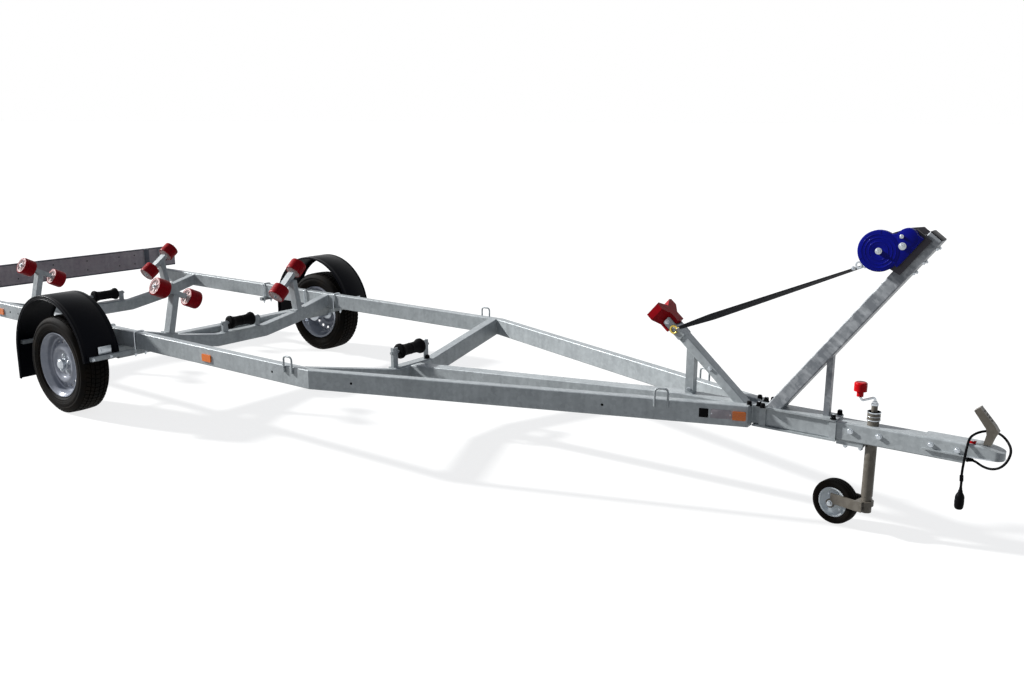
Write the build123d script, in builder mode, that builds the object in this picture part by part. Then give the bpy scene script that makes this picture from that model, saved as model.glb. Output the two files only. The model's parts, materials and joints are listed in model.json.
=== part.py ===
"""Single-axle roller boat trailer, galvanised, standing on its jockey wheel.

Millimetres. +X points forward to the ball coupling, +Y to the trailer's left and +Z up.
The origin is on the ground, in the middle of the trailer's length and width.
Places along the trailer are given from the axle, and at() turns them into X.
"""

import os
from math import atan2, cos, degrees, hypot, radians, sin, tan

from build123d import *

os.makedirs("parts", exist_ok=True)

# ---- driving dimensions ----------------------------------------------------------------

AXLE_X = -1567.5  # the wheels' centre, from the middle of the trailer's length
SIDES = {"right": -1, "left": 1}  # each side's sign along Y
RUNNING = 0.05  # radial clearance of a pin in its bore

# ladder frame
RAIL_HEIGHT = 100.0
RAIL_WIDTH = 50.0
RAIL_BOTTOM = 397.0
RAIL_TOP = RAIL_BOTTOM + RAIL_HEIGHT
FRAME_HALF = 830.0  # outer face of a rail, from the middle
RAIL_REAR = -1690.0
RAIL_KNEE = 1877.0  # where the rails turn in towards the drawbar
RAIL_FRONT = 3920.0
TUBE_CORNER = 6.0  # outside corner radius of the rolled tubes

# drawbar, keel beam and coupling
DRAWBAR_SIZE = 80.0
DRAWBAR_TOP = 485.0
DRAWBAR_REAR = 3550.0
DRAWBAR_FRONT = 4810.0
KEEL_REAR = 1860.0
KEEL_REAR_TOP = 361.0
COUPLING_REAR = 4650.0
COUPLING_NOSE = 4950.0
COUPLING_RIM = 437.0  # underside of the pressed coupling head
BALL_X = 4902.0
BALL_BORE_RADIUS = 25.2
BALL_BORE_DEPTH = 32.0

# wheels and axle
WHEEL_RADIUS = 297.0  # 185/65 R14
TYRE_WIDTH = 185.0
TRACK_HALF = 1037.5  # middle of a tyre, from the middle of the trailer
RIM_RADIUS = 190.0
HUB_FACE = 1067.0  # where a wheel bolts to its hub
HUB_RADIUS = 62.0
STUB_RADIUS = 15.0
AXLE_TUBE = 80.0
AXLE_TUBE_X = 185.0
AXLE_TUBE_HALF = 850.0
ARM_OUTER = 900.0

# mudguards
GUARD_X = -25.0
GUARD_Z = 333.0
GUARD_RADIUS = 387.0
GUARD_INNER = 925.0
GUARD_OUTER = 1150.0
GUARD_WALL = 4.0
GUARD_LIP = 26.0
GUARD_FRONT_Z = 366.0
FLAP_Z = 157.0

# light board
BOARD_FRONT = -1742.0
BOARD_THICK = 23.0
BOARD_HALF = 945.0
BOARD_BOTTOM = 513.0
BOARD_TOP = 676.0
LAMP_DEPTH = 50.0

# winch post and winch
POST_ANGLE = radians(53.0)  # above the horizontal, leaning forward
POST_FOOT = 3976.7  # rear edge of the post's foot
POST_WIDTH = 80.0  # across the trailer
POST_DEPTH = 60.0
POST_LENGTH = 1031.0
DRUM_ALONG = 855.0  # drum's axis, along the post from its foot
DRUM_OUT = 90.0  # and out from the post's rear face
ROLL_RADIUS = 43.0  # the wound strap

# bow snubber
SNUB_ANGLE = radians(41.6)  # above the horizontal, leaning rearwards
SNUB_TOP = (3524.0, 777.0)  # end of the visible post, X from the axle and Z
SNUB_DEPTH = 42.0
SNUB_WIDTH = 60.0
SNUB_TONGUE = 20.0  # how far the post runs up past that end, between its two ears

# jockey wheel
JOCKEY_X = 4438.0
JOCKEY_TUBE_RADIUS = 24.0
JOCKEY_INNER_RADIUS = 21.0
JOCKEY_TRAIL = 144.0
JOCKEY_YAW = radians(-13.0)
JOCKEY_WHEEL_RADIUS = 100.0
JOCKEY_WHEEL_WIDTH = 64.0
FORK_Z = (126.0, 147.0)  # the swivel block's underside and top

# rollers
SIDE_ROLLER_RADIUS = 58.0
SIDE_ROLLER_WIDTH = 85.0
SIDE_ROLLER_SPACING = 231.0
SHAFT_RADIUS = 8.0
KEEL_ROLLER_HALF = 96.0

# lighting cable
CABLE_RADIUS = 5.0


def at(from_axle):
    """X of a place given from the axle, forwards positive."""
    return AXLE_X + from_axle


def keep(piece, name):
    """Labels a finished piece and writes it."""
    piece.label = name
    export_step(piece, f"parts/{name}.step")


def slab_y(points, y_low, y_high):
    """An outline in X and Z, carried across the trailer from y_low to y_high."""
    with BuildPart() as slab:
        with BuildSketch(Plane.XZ.offset(-y_high)):
            with BuildLine():
                Polyline(*points, close=True)
            make_face()
        extrude(amount=y_high - y_low)
    return slab.part


def box(x, y, z):
    """A block between (low, high) pairs along the three axes."""
    with BuildPart() as block:
        with Locations(((x[0] + x[1]) / 2, (y[0] + y[1]) / 2, (z[0] + z[1]) / 2)):
            Box(x[1] - x[0], y[1] - y[0], z[1] - z[0])
    return block.part


def rod(start, end, radius):
    """A round bar from one point to another."""
    run = Vector(*end) - Vector(*start)
    with BuildPart() as bar:
        with BuildSketch(Plane(origin=start, z_dir=run)):
            Circle(radius)
        extrude(amount=run.length)
    return bar.part


def wire_rod(points, radius, bend):
    """A round bar bent along a route."""
    with BuildPart() as bar:
        with BuildLine() as route:
            FilletPolyline(*points, radius=bend)
        with BuildSketch(Plane(origin=route.line @ 0, z_dir=route.line % 0)):
            Circle(radius)
        sweep(path=route.line)
    return bar.part


# ---- rails -----------------------------------------------------------------------------

FRONT_HALF = DRAWBAR_SIZE / 2 + 0.2 + RAIL_WIDTH * 1.062
FRONT_ANGLE = atan2(FRAME_HALF - FRONT_HALF, RAIL_FRONT - RAIL_KNEE)
INNER_KNEE = RAIL_KNEE - RAIL_WIDTH * tan(FRONT_ANGLE / 2)
INNER_FRONT_HALF = FRONT_HALF - RAIL_WIDTH / cos(FRONT_ANGLE)

for side, sign in SIDES.items():
    outline = [
        (at(RAIL_REAR), sign * FRAME_HALF),
        (at(RAIL_KNEE), sign * FRAME_HALF),
        (at(RAIL_FRONT), sign * FRONT_HALF),
        (at(RAIL_FRONT), sign * INNER_FRONT_HALF),
        (at(INNER_KNEE), sign * (FRAME_HALF - RAIL_WIDTH)),
        (at(RAIL_REAR), sign * (FRAME_HALF - RAIL_WIDTH)),
    ]
    with BuildPart() as rail:
        with BuildSketch(Plane.XY.offset(RAIL_BOTTOM)):
            with BuildLine():
                Polyline(*outline, close=True)
            make_face()
        extrude(amount=RAIL_HEIGHT)
        fillet(rail.edges().filter_by(lambda e: e.length > 1000), radius=TUBE_CORNER)
    keep(rail.part, f"rail_{side}")

# ---- cross-members ---------------------------------------------------------------------
# name, rear face, front face, depth of the tube, and its top edge from the middle
# outwards as (Y, Z): low in the middle, rising to the rails on each side

CROSS_MEMBERS = (
    ("cross_member_rear", -1311.0, -1251.0, 80.0, ((195, 366), (460, 410), (779.8, 490))),
    ("cross_member_mid", 263.0, 323.0, 80.0, ((195, 366), (460, 410), (779.8, 490))),
    ("cross_member_front", 1800.0, 1859.8, 100.0, ((150, 358), (460, 427), (779.8, 497))),
)


def along_top(edge, y):
    """Height of a cross-member's top edge at a distance y from the middle."""
    inner, outer = (0, edge[0][1]), edge[0]
    for first, second in zip(edge, edge[1:]):
        if y > first[0]:
            inner, outer = first, second
    return inner[1] + (outer[1] - inner[1]) * (y - inner[0]) / (outer[0] - inner[0])


for name, rear, front, depth, edge in CROSS_MEMBERS:
    slopes = [atan2(b[1] - a[1], b[0] - a[0]) for a, b in zip(edge, edge[1:])]
    drops = [depth / cos(slope / 2) for slope in [slopes[0]]]
    drops += [depth / cos((slopes[0] + slopes[1]) / 2), depth / cos(slopes[1])]
    leans = [slopes[0] / 2, (slopes[0] + slopes[1]) / 2, 0.0]
    under = [
        (y + drop * sin(lean) * cos(lean), z - drop * cos(lean) ** 2)
        for (y, z), drop, lean in zip(edge, drops, leans)
    ]
    half = list(edge) + under[::-1]
    ring = half + [(-y, z) for y, z in reversed(half)]
    with BuildPart() as member:
        with BuildSketch(Plane.YZ.offset(at(rear))):
            with BuildLine():
                Polyline(*ring, close=True)
            make_face()
        extrude(amount=front - rear)
        long_edges = member.edges().filter_by(lambda e: e.length > 120)
        fillet(long_edges.filter_by(lambda e: abs(e.tangent_at(0.5).X) < 0.1), radius=4)
    keep(member.part, name)

# ---- keel beam and drawbar -------------------------------------------------------------

HALF_BAR = DRAWBAR_SIZE / 2
beam_outline = [
    (at(KEEL_REAR), KEEL_REAR_TOP),
    (at(DRAWBAR_REAR), DRAWBAR_TOP),
    (at(DRAWBAR_REAR), DRAWBAR_TOP - DRAWBAR_SIZE),
    (at(KEEL_REAR), KEEL_REAR_TOP - DRAWBAR_SIZE),
]
with BuildPart() as keel_beam:
    add(slab_y(beam_outline, -HALF_BAR, HALF_BAR))
    fillet(keel_beam.edges().filter_by(lambda e: e.length > 1000), radius=TUBE_CORNER)
keep(keel_beam.part, "keel_beam")

# the drawbar ends in a rubber grommet for the lighting cable, and the jockey tube
# goes down through it
GROMMET = (at(DRAWBAR_FRONT), -22.0, 421.0)
GROMMET_LENGTH = 10.0
with BuildPart() as drawbar:
    add(
        box(
            (at(DRAWBAR_REAR), at(DRAWBAR_FRONT)),
            (-HALF_BAR, HALF_BAR),
            (DRAWBAR_TOP - DRAWBAR_SIZE, DRAWBAR_TOP),
        )
    )
    fillet(drawbar.edges().filter_by(Axis.X), radius=TUBE_CORNER)
    add(rod(GROMMET, (GROMMET[0] + GROMMET_LENGTH, *GROMMET[1:]), 8.0))
    with Locations((at(JOCKEY_X), 0, DRAWBAR_TOP - HALF_BAR)):
        Cylinder(JOCKEY_TUBE_RADIUS, DRAWBAR_SIZE + 20, mode=Mode.SUBTRACT)
keep(drawbar.part, "drawbar")

# ---- clamp plates round the drawbar ----------------------------------------------------

PLATE = 8.0
with BuildPart() as clamp_plates:
    add(box((at(3925), at(4268)), (-52, 52), (DRAWBAR_TOP, DRAWBAR_TOP + PLATE)))
    bottom = DRAWBAR_TOP - DRAWBAR_SIZE
    add(box((at(3925), at(4300)), (-52, 52), (bottom - PLATE, bottom)))
    for x_low, x_high in ((3955, 3985), (4268, 4298)):
        for sign in SIDES.values():
            inner, outer = sorted((sign * HALF_BAR, sign * (HALF_BAR + PLATE)))
            add(
                box(
                    (at(x_low), at(x_high)),
                    (inner, outer),
                    (bottom - PLATE, DRAWBAR_TOP + PLATE),
                )
            )
    add(box((at(4268), at(4298)), (-52, 52), (DRAWBAR_TOP, DRAWBAR_TOP + PLATE)))
    add(box((at(4300), at(4412)), (-34, 34), (bottom - 20, bottom)))
keep(clamp_plates.part, "clamp_plates")

# ---- coupling head and its handle ------------------------------------------------------

HEAD_HALF = HALF_BAR + 6.0
HEAD_TOP = DRAWBAR_TOP + 6.0
NOSE_HALF = 40.0
NOSE_ROUND = 36.0
RIM = 6.0
with BuildPart() as coupling_head:
    with BuildSketch(Plane.XY.offset(COUPLING_RIM)):
        with BuildLine():
            Polyline(
                (at(COUPLING_REAR), -HEAD_HALF),
                (at(DRAWBAR_FRONT) + 15, -HEAD_HALF),
                (at(COUPLING_NOSE), -NOSE_HALF),
                (at(COUPLING_NOSE), NOSE_HALF),
                (at(DRAWBAR_FRONT) + 15, HEAD_HALF),
                (at(COUPLING_REAR), HEAD_HALF),
                close=True,
            )
        make_face()
    extrude(amount=HEAD_TOP - COUPLING_RIM)
    fillet(
        coupling_head.edges().filter_by(Axis.Z).group_by(Axis.X)[-1], radius=NOSE_ROUND
    )
    # the nose falls away towards the front
    add(
        slab_y(
            [
                (at(DRAWBAR_FRONT) + 40, HEAD_TOP + 1),
                (at(COUPLING_NOSE) + 5, HEAD_TOP + 1),
                (at(COUPLING_NOSE) + 5, HEAD_TOP - 22),
            ],
            -100,
            100,
        ),
        mode=Mode.SUBTRACT,
    )
    fillet(coupling_head.faces().sort_by(Axis.Z)[-1].edges().filter_by(Axis.X), radius=8)
    # room for the drawbar, and the socket for the towing ball
    add(
        box(
            (at(COUPLING_REAR) - 1, at(DRAWBAR_FRONT)),
            (-HALF_BAR, HALF_BAR),
            (COUPLING_RIM - 1, DRAWBAR_TOP),
        ),
        mode=Mode.SUBTRACT,
    )
    with Locations((at(BALL_X), 0, COUPLING_RIM + BALL_BORE_DEPTH / 2)):
        Cylinder(BALL_BORE_RADIUS, BALL_BORE_DEPTH, mode=Mode.SUBTRACT)
    # turned-out rim along both sides
    for sign in SIDES.values():
        inner, outer = sorted((sign * HEAD_HALF, sign * (HEAD_HALF + RIM)))
        add(
            box(
                (at(COUPLING_REAR), at(DRAWBAR_FRONT) + 15),
                (inner, outer),
                (COUPLING_RIM, COUPLING_RIM + RIM),
            )
        )
keep(coupling_head.part, "coupling_head")

# the lever stands on the head: its side outline as X from the axle and Z
HANDLE_OUTLINE = (
    (4868, HEAD_TOP), (4876, 532), (4872, 556), (4822, 622), (4843, 640), (4903, 572),
    (4919, 548), (4906, 520), (4897, HEAD_TOP),
)
HANDLE_HALF = 19.0
HANDLE_SKIN = 4.0
LEVER_TILT = atan2(640 - 572, 4903 - 4843)  # slope of the lever's perforated plate
with BuildPart() as coupling_handle:
    add(slab_y([(at(x), z) for x, z in HANDLE_OUTLINE], -HANDLE_HALF, HANDLE_HALF))
    pocket = [(at(x) - HANDLE_SKIN, z - HANDLE_SKIN) for x, z in HANDLE_OUTLINE[2:6]]
    inner = HANDLE_HALF - HANDLE_SKIN
    add(slab_y([(at(4850), 540), *pocket], -inner, inner), mode=Mode.SUBTRACT)
    lever_plane = Plane(
        origin=(at(4873), 0, 606),
        x_dir=(0, 1, 0),
        z_dir=(sin(LEVER_TILT), 0, cos(LEVER_TILT)),
    )
    with BuildSketch(lever_plane):
        with GridLocations(15, 15, 2, 4):
            Circle(4.6)
    extrude(amount=30, both=True, mode=Mode.SUBTRACT)
keep(coupling_handle.part, "coupling_handle")

# ---- axle and swing arms ---------------------------------------------------------------

AXLE_BOTTOM = RAIL_BOTTOM - AXLE_TUBE
AXLE_Z = RAIL_BOTTOM - AXLE_TUBE / 2
with BuildPart() as axle_beam:
    add(
        box(
            (at(AXLE_TUBE_X - AXLE_TUBE / 2), at(AXLE_TUBE_X + AXLE_TUBE / 2)),
            (-AXLE_TUBE_HALF, AXLE_TUBE_HALF),
            (AXLE_BOTTOM, RAIL_BOTTOM),
        )
    )
    fillet(axle_beam.edges().filter_by(Axis.Y), radius=12)
keep(axle_beam.part, "axle_beam")

ARM_ENDS = ((AXLE_TUBE_X, AXLE_Z, 38.0), (0.0, WHEEL_RADIUS, 32.0))  # X, Z, radius
arm_slope = degrees(atan2(ARM_ENDS[0][1] - ARM_ENDS[1][1], AXLE_TUBE_X))
with BuildPart() as swing_arms:
    for sign in SIDES.values():
        near, far = sorted((sign * AXLE_TUBE_HALF, sign * ARM_OUTER))
        with BuildSketch(Plane.XZ.offset(-far)):
            with BuildLine():
                Polyline(
                    *[
                        (
                            at(x) + r * cos(radians(turn + arm_slope)),
                            z + r * sin(radians(turn + arm_slope)),
                        )
                        for x, z, r, turn in (
                            (*ARM_ENDS[0], 90),
                            (*ARM_ENDS[1], 90),
                            (*ARM_ENDS[1], -90),
                            (*ARM_ENDS[0], -90),
                        )
                    ],
                    close=True,
                )
            make_face()
            for x, z, r in ARM_ENDS:
                with Locations((at(x), z)):
                    Circle(r)
        extrude(amount=far - near)
        add(
            rod(
                (at(0), sign * (ARM_OUTER - 5), WHEEL_RADIUS),
                (at(0), sign * (HUB_FACE - 27), WHEEL_RADIUS),
                STUB_RADIUS,
            )
        )
keep(swing_arms.part, "swing_arms")

# ---- wheels ----------------------------------------------------------------------------
# a wheel's section: radius and distance outboard of the tyre's middle

TYRE_SECTION = (
    (191, -70), (199, -70), (204, -82), (232, -91), (262, -90), (283, -80), (294, -62),
    (297, -30), (297, 30), (294, 62), (283, 80), (262, 90), (232, 91), (204, 82), (199, 70),
    (191, 70), (196, 62), (196, -62),
)
RIM_SECTION = (
    (198, -78), (198, -71), (190.5, -70.4), (186, -62), (180, -60), (168, -30),
    (160, 8), (172, 38), (180, 60), (186, 62), (190.5, 70.4), (198, 71), (198, 78),
    (184, 76), (178, 66), (165, 44), (150, 30), (112, 46), (88, 48), (70, 36), (30.5, 36),
    (30.5, 29.5), (72, 29.5), (92, 40), (110, 38), (146, 20), (152, 4), (162, -32),
    (174, -62), (184, -76),
)


def turned(section, side_sign, middle):
    """A ring turned about the wheels' axis from a section of (radius, outboard) points."""
    with BuildPart() as ring:
        with BuildSketch(Plane.YZ.offset(at(0))):
            with BuildLine():
                Polyline(
                    *[(side_sign * (middle + out), WHEEL_RADIUS + r) for r, out in section],
                    close=True,
                )
            make_face()
        revolve(axis=Axis((at(0), 0, WHEEL_RADIUS), (0, 1, 0)))
    return ring.part


for side, sign in SIDES.items():
    with BuildPart() as tyre:
        add(turned(TYRE_SECTION, sign, TRACK_HALF))
    keep(tyre.part, f"tyre_{side}")

    with BuildPart() as rim:
        add(turned(RIM_SECTION, sign, TRACK_HALF))
        # hand holes round the disc
        with BuildSketch(Plane.XZ.offset(-sign * (TRACK_HALF + 60))):
            with Locations((at(0), WHEEL_RADIUS)):
                with PolarLocations(131, 16):
                    Circle(9.5)
        extrude(amount=sign * 70, mode=Mode.SUBTRACT)
    keep(rim.part, f"rim_{side}")

    hub_section = (
        (HUB_RADIUS, -115), (HUB_RADIUS, -60), (44, -56), (44, 10), (66, 14), (66, 29.3),
        (30, 29.3), (30, 62), (24, 70), (1, 72), (1, 6), (STUB_RADIUS + RUNNING, 6),
        (STUB_RADIUS + RUNNING, -115),
    )
    with BuildPart() as hub:
        add(turned(hub_section, sign, TRACK_HALF))
    keep(hub.part, f"hub_{side}")

# ---- mudguards and their bars ----------------------------------------------------------


def guard_outline(inset, drop=0.0):
    """The guard's arch with its rear flap, moved in by inset and cut drop higher."""
    radius = GUARD_RADIUS - inset
    front_z = GUARD_FRONT_Z - drop
    front_x = at(GUARD_X) + (radius**2 - (front_z - GUARD_Z) ** 2) ** 0.5
    rear_x = at(GUARD_X) - radius
    return front_x, front_z, rear_x, radius


for side, sign in SIDES.items():
    with BuildPart() as mudguard:
        bands = ((GUARD_INNER, GUARD_OUTER, GUARD_WALL), (GUARD_OUTER - 4, GUARD_OUTER, GUARD_LIP))
        for inner_y, outer_y, wall in bands:
            front_x, front_z, rear_x, radius = guard_outline(0)
            in_front_x, _, in_rear_x, in_radius = guard_outline(wall)
            near, far = sorted((sign * inner_y, sign * outer_y))
            top = (at(GUARD_X), GUARD_Z + radius)
            in_top = (at(GUARD_X), GUARD_Z + in_radius)
            with BuildSketch(Plane.XZ.offset(-far)):
                with BuildLine():
                    ThreePointArc((front_x, front_z), top, (rear_x, GUARD_Z))
                    Line((rear_x, GUARD_Z), (rear_x, FLAP_Z))
                    Line((rear_x, FLAP_Z), (in_rear_x, FLAP_Z))
                    Line((in_rear_x, FLAP_Z), (in_rear_x, GUARD_Z))
                    ThreePointArc((in_rear_x, GUARD_Z), in_top, (in_front_x, front_z))
                    Line((in_front_x, front_z), (front_x, front_z))
                make_face()
            extrude(amount=far - near)
    keep(mudguard.part, f"mudguard_{side}")

BAR = 24.0
BAR_REARS = (-402.3, 361.2)  # rear face of each bar, against the guard's two ends
with BuildPart() as mudguard_bars:
    for sign in SIDES.values():
        for rear in BAR_REARS:
            near, far = sorted((sign * 745, sign * 1120))
            add(box((at(rear), at(rear + BAR)), (near, far), (RAIL_BOTTOM - BAR, RAIL_BOTTOM)))
keep(mudguard_bars.part, "mudguard_bars")

# ---- side roller posts and their rollers -----------------------------------------------
# name, side, cross-member's middle, how far from the middle the post stands at its foot and
# at the shaft, the shaft's middle X, Y and Z, its turn in plan and its slope

STATIONS = (
    ("rear", "right", -1281.0, 552.0, 498.0, -1278.0, 480.0, 657.0, 1.3, 26.8),
    ("rear", "left", -1281.0, 532.0, 493.0, -1278.0, 480.0, 632.0, 1.3, 36.1),
    ("front", "right", 293.0, 540.0, 486.0, 268.0, 452.0, 668.0, 3.8, 24.2),
    ("front", "left", 293.0, 508.0, 470.0, 268.0, 452.0, 636.0, 3.8, 40.5),
)
POST_X = 60.0
POST_Y = 40.0
POST_PAD = 8.0
MEMBER_SLOPE = atan2(490 - 410, 779.8 - 460)
CARRIER_HALF = 60.0
CARRIER_HIGH = 30.0
CARRIER_WIDE = 56.0
CARRIER_WALL = 5.0


def shaft_plane(sign, x, y, z, turn, slope):
    """The plane across a pair's shaft at its middle, its normal pointing inboard."""
    plan, fall = radians(turn), radians(slope)
    inboard = (sin(plan) * cos(fall), -sign * cos(plan) * cos(fall), -sin(fall))
    return Plane(origin=(at(x), sign * y, z), x_dir=(0, sign * sin(fall), -cos(fall)), z_dir=inboard)


for name in ("rear", "front"):
    with BuildPart() as side_posts:
        for station, side, member_x, foot_y, top_y, x, y, z, turn, slope in STATIONS:
            if station != name:
                continue
            sign = SIDES[side]
            # the pressed carrier, open underneath, with the shaft through its ends
            plane = shaft_plane(sign, x, y, z, turn, slope)
            with BuildSketch(plane.offset(-CARRIER_HALF)):
                Rectangle(CARRIER_HIGH, CARRIER_WIDE)
            extrude(amount=2 * CARRIER_HALF)
            with BuildSketch(plane.offset(CARRIER_WALL - CARRIER_HALF)):
                with Locations((CARRIER_WALL, 0)):
                    Rectangle(CARRIER_HIGH, CARRIER_WIDE - 2 * CARRIER_WALL)
            extrude(amount=2 * (CARRIER_HALF - CARRIER_WALL), mode=Mode.SUBTRACT)
            # the post, on a pad that lies along the cross-member
            foot_z = along_top(CROSS_MEMBERS[0][4], foot_y)
            square = Vector(0, -sign * sin(MEMBER_SLOPE), cos(MEMBER_SLOPE))
            foot = Vector(at(member_x), sign * foot_y, foot_z) + square * 0.2
            with BuildSketch(Plane(origin=foot, x_dir=(1, 0, 0), z_dir=square)):
                Rectangle(POST_X - 4, 84)
            extrude(amount=POST_PAD)
            foot += square * POST_PAD / 2
            axis_up = (Vector(at(member_x), sign * top_y, z) - foot).normalized()
            rise = (Vector(at(member_x), sign * top_y, z) - foot).length - 2
            with BuildSketch(Plane(origin=foot, x_dir=(1, 0, 0), z_dir=axis_up)):
                RectangleRounded(POST_X, POST_Y, 4)
            extrude(amount=rise)
            reach = (SIDE_ROLLER_SPACING + SIDE_ROLLER_WIDTH) / 2 + 9
            with BuildSketch(plane.offset(-reach)):
                Circle(SHAFT_RADIUS)
            extrude(amount=2 * reach)
    keep(side_posts.part, f"side_posts_{name}")

for name, side, member_x, foot_y, top_y, x, y, z, turn, slope in STATIONS:
    plane = shaft_plane(SIDES[side], x, y, z, turn, slope)
    middles = (-SIDE_ROLLER_SPACING / 2, SIDE_ROLLER_SPACING / 2)
    with BuildPart() as side_rollers:
        for middle in middles:
            with BuildSketch(plane.offset(middle - SIDE_ROLLER_WIDTH / 2)):
                Circle(SIDE_ROLLER_RADIUS)
            extrude(amount=SIDE_ROLLER_WIDTH)
        fillet(side_rollers.edges().filter_by(GeomType.CIRCLE), radius=9)
        for middle in middles:
            with BuildSketch(plane.offset(middle - SIDE_ROLLER_WIDTH / 2)):
                Circle(SHAFT_RADIUS + RUNNING)
            extrude(amount=SIDE_ROLLER_WIDTH, mode=Mode.SUBTRACT)
    keep(side_rollers.part, f"side_rollers_{name}_{side}")

# ---- keel rollers and their brackets ---------------------------------------------------
# name, the cross-member's middle, its top, the roller's height and the uprights' top

KEEL_ROLLERS = (
    ("rear", -1296.0, 366.0, 424.0, 440.0),
    ("mid", 305.0, 366.0, 426.0, 442.0),
    ("front", 1820.0, 358.0, 447.0, 476.0),
)
UPRIGHT_IN = 112.0  # each upright is an angle, 38 across and 20 deep
UPRIGHT_OUT = 150.0
UPRIGHT_DEEP = 20.0
UPRIGHT_WALL = 5.0
KEEL_SECTION = (  # distance from the middle, radius
    (-96, 37), (-90, 44), (-78, 44), (-60, 35), (-44, 32.5), (44, 32.5), (60, 35), (78, 44),
    (90, 44), (96, 37),
)

with BuildPart() as keel_brackets:
    for name, x, top, z, crown in KEEL_ROLLERS:
        add(box((at(x) - 28, at(x) + 28), (-UPRIGHT_OUT, UPRIGHT_OUT), (top, top + 6)))
        front = at(x) + UPRIGHT_DEEP / 2
        for sign in SIDES.values():
            near, far = sorted((sign * UPRIGHT_IN, sign * UPRIGHT_OUT))
            add(box((front - UPRIGHT_WALL, front), (near, far), (top, crown)))
            near, far = sorted((sign * (UPRIGHT_OUT - UPRIGHT_WALL), sign * UPRIGHT_OUT))
            add(box((front - UPRIGHT_DEEP, front), (near, far), (top, crown)))
        ends = UPRIGHT_OUT + 10
        add(rod((at(x), -ends, z), (at(x), ends, z), SHAFT_RADIUS))
keep(keel_brackets.part, "keel_brackets")

for name, x, top, z, crown in KEEL_ROLLERS:
    with BuildPart() as keel_roller:
        bore = SHAFT_RADIUS + RUNNING
        with BuildSketch(Plane.YZ.offset(at(x))):
            with BuildLine():
                Polyline(
                    (-KEEL_ROLLER_HALF, z + bore),
                    *[(y, z + r) for y, r in KEEL_SECTION],
                    (KEEL_ROLLER_HALF, z + bore),
                    close=True,
                )
            make_face()
        revolve(axis=Axis((at(x), 0, z), (0, 1, 0)))
    keep(keel_roller.part, f"keel_roller_{name}")

# ---- tie-down hoops --------------------------------------------------------------------
# distance of each hoop's middle from the axle; the front pair stands on the turned-in rails

HOOP_RADIUS = 5.0
HOOP_HALF = 30.0
HOOP_TOP = 548.0
HOOP_FOOT = 462.0
with BuildPart() as tie_down_hoops:
    for sign in SIDES.values():
        for middle, turn in ((1731.5, 0.0), (3559.0, FRONT_ANGLE)):
            face = FRAME_HALF - max(0.0, middle - RAIL_KNEE) * tan(turn)
            out = (face + (HOOP_RADIUS + 0.1) / cos(turn)) * sign
            along = (cos(turn), -sign * sin(turn))
            points = [
                (at(middle) + s * along[0], out + s * along[1], h)
                for s, h in (
                    (-HOOP_HALF, HOOP_FOOT),
                    (-HOOP_HALF, HOOP_TOP),
                    (HOOP_HALF, HOOP_TOP),
                    (HOOP_HALF, HOOP_FOOT),
                )
            ]
            add(wire_rod(points, HOOP_RADIUS, 18))
keep(tie_down_hoops.part, "tie_down_hoops")

# ---- amber reflectors ------------------------------------------------------------------
# each one's middle from the axle, its length and its height's middle; the front pair is on
# the turned-in rails

REFLECTORS = ((-1209.0, 80.0, 438.0), (1055.0, 76.0, 440.0), (3885.0, 60.0, 448.0))
REFLECTOR_HEIGHT = 40.0
REFLECTOR_THICK = 6.0
with BuildPart() as reflectors_amber:
    for sign in SIDES.values():
        for middle, length, height in REFLECTORS:
            turn = FRONT_ANGLE if middle > RAIL_KNEE else 0.0
            face = FRAME_HALF - max(0.0, middle - RAIL_KNEE) * tan(turn)
            lens_plane = Plane(
                origin=(at(middle), sign * face, height),
                x_dir=(0, 0, 1),
                z_dir=(sin(turn), sign * cos(turn), 0),
            )
            with BuildSketch(lens_plane):
                RectangleRounded(REFLECTOR_HEIGHT, length, 5)
            extrude(amount=REFLECTOR_THICK)
keep(reflectors_amber.part, "reflectors_amber")

# ---- light board -----------------------------------------------------------------------

BOARD_REAR = BOARD_FRONT - BOARD_THICK
with BuildPart() as light_board:
    add(
        box(
            (at(BOARD_REAR), at(BOARD_FRONT)),
            (-BOARD_HALF, BOARD_HALF),
            (BOARD_BOTTOM, BOARD_TOP),
        )
    )
    fillet(light_board.edges().filter_by(Axis.Y), radius=5)
keep(light_board.part, "light_board")

with BuildPart() as board_arms:
    for sign in SIDES.values():
        near, far = sorted((sign * 785, sign * 825))
        add(box((at(BOARD_FRONT), at(RAIL_REAR)), (near, far), (427, 467)))
        add(box((at(BOARD_FRONT), at(BOARD_FRONT + 12)), (near, far), (427, BOARD_TOP - 12)))
        near, far = sorted((sign * 650, sign * 694))
        add(box((at(BOARD_FRONT), at(BOARD_FRONT + 6)), (near, far), (BOARD_BOTTOM - 4, BOARD_TOP)))
        near, far = sorted((sign * 650, sign * 825))
        add(box((at(BOARD_FRONT), at(BOARD_FRONT + 12)), (near, far), (503, BOARD_BOTTOM + 8)))
keep(board_arms.part, "board_arms")

LAMP_Y = (745.0, 935.0)
LAMP_Z = (540.0, 650.0)
with BuildPart() as rear_lamps:
    for sign in SIDES.values():
        near, far = sorted((sign * LAMP_Y[0], sign * LAMP_Y[1]))
        add(box((at(BOARD_REAR - LAMP_DEPTH), at(BOARD_REAR)), (near, far), LAMP_Z))
    fillet(rear_lamps.edges().filter_by(Axis.X), radius=14)
keep(rear_lamps.part, "rear_lamps")

with BuildPart() as number_plate:
    add(box((at(BOARD_REAR - 3), at(BOARD_REAR)), (-260, 260), (539, 650)))
keep(number_plate.part, "number_plate")

# ---- winch post, winch and strap -------------------------------------------------------
# in the post's own plane: along the post from its foot's rear edge, and out from its rear face

post_plane = Plane(
    origin=(at(POST_FOOT), 0, DRAWBAR_TOP + PLATE),
    x_dir=(cos(POST_ANGLE), 0, sin(POST_ANGLE)),
    z_dir=(0, -1, 0),
)


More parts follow.
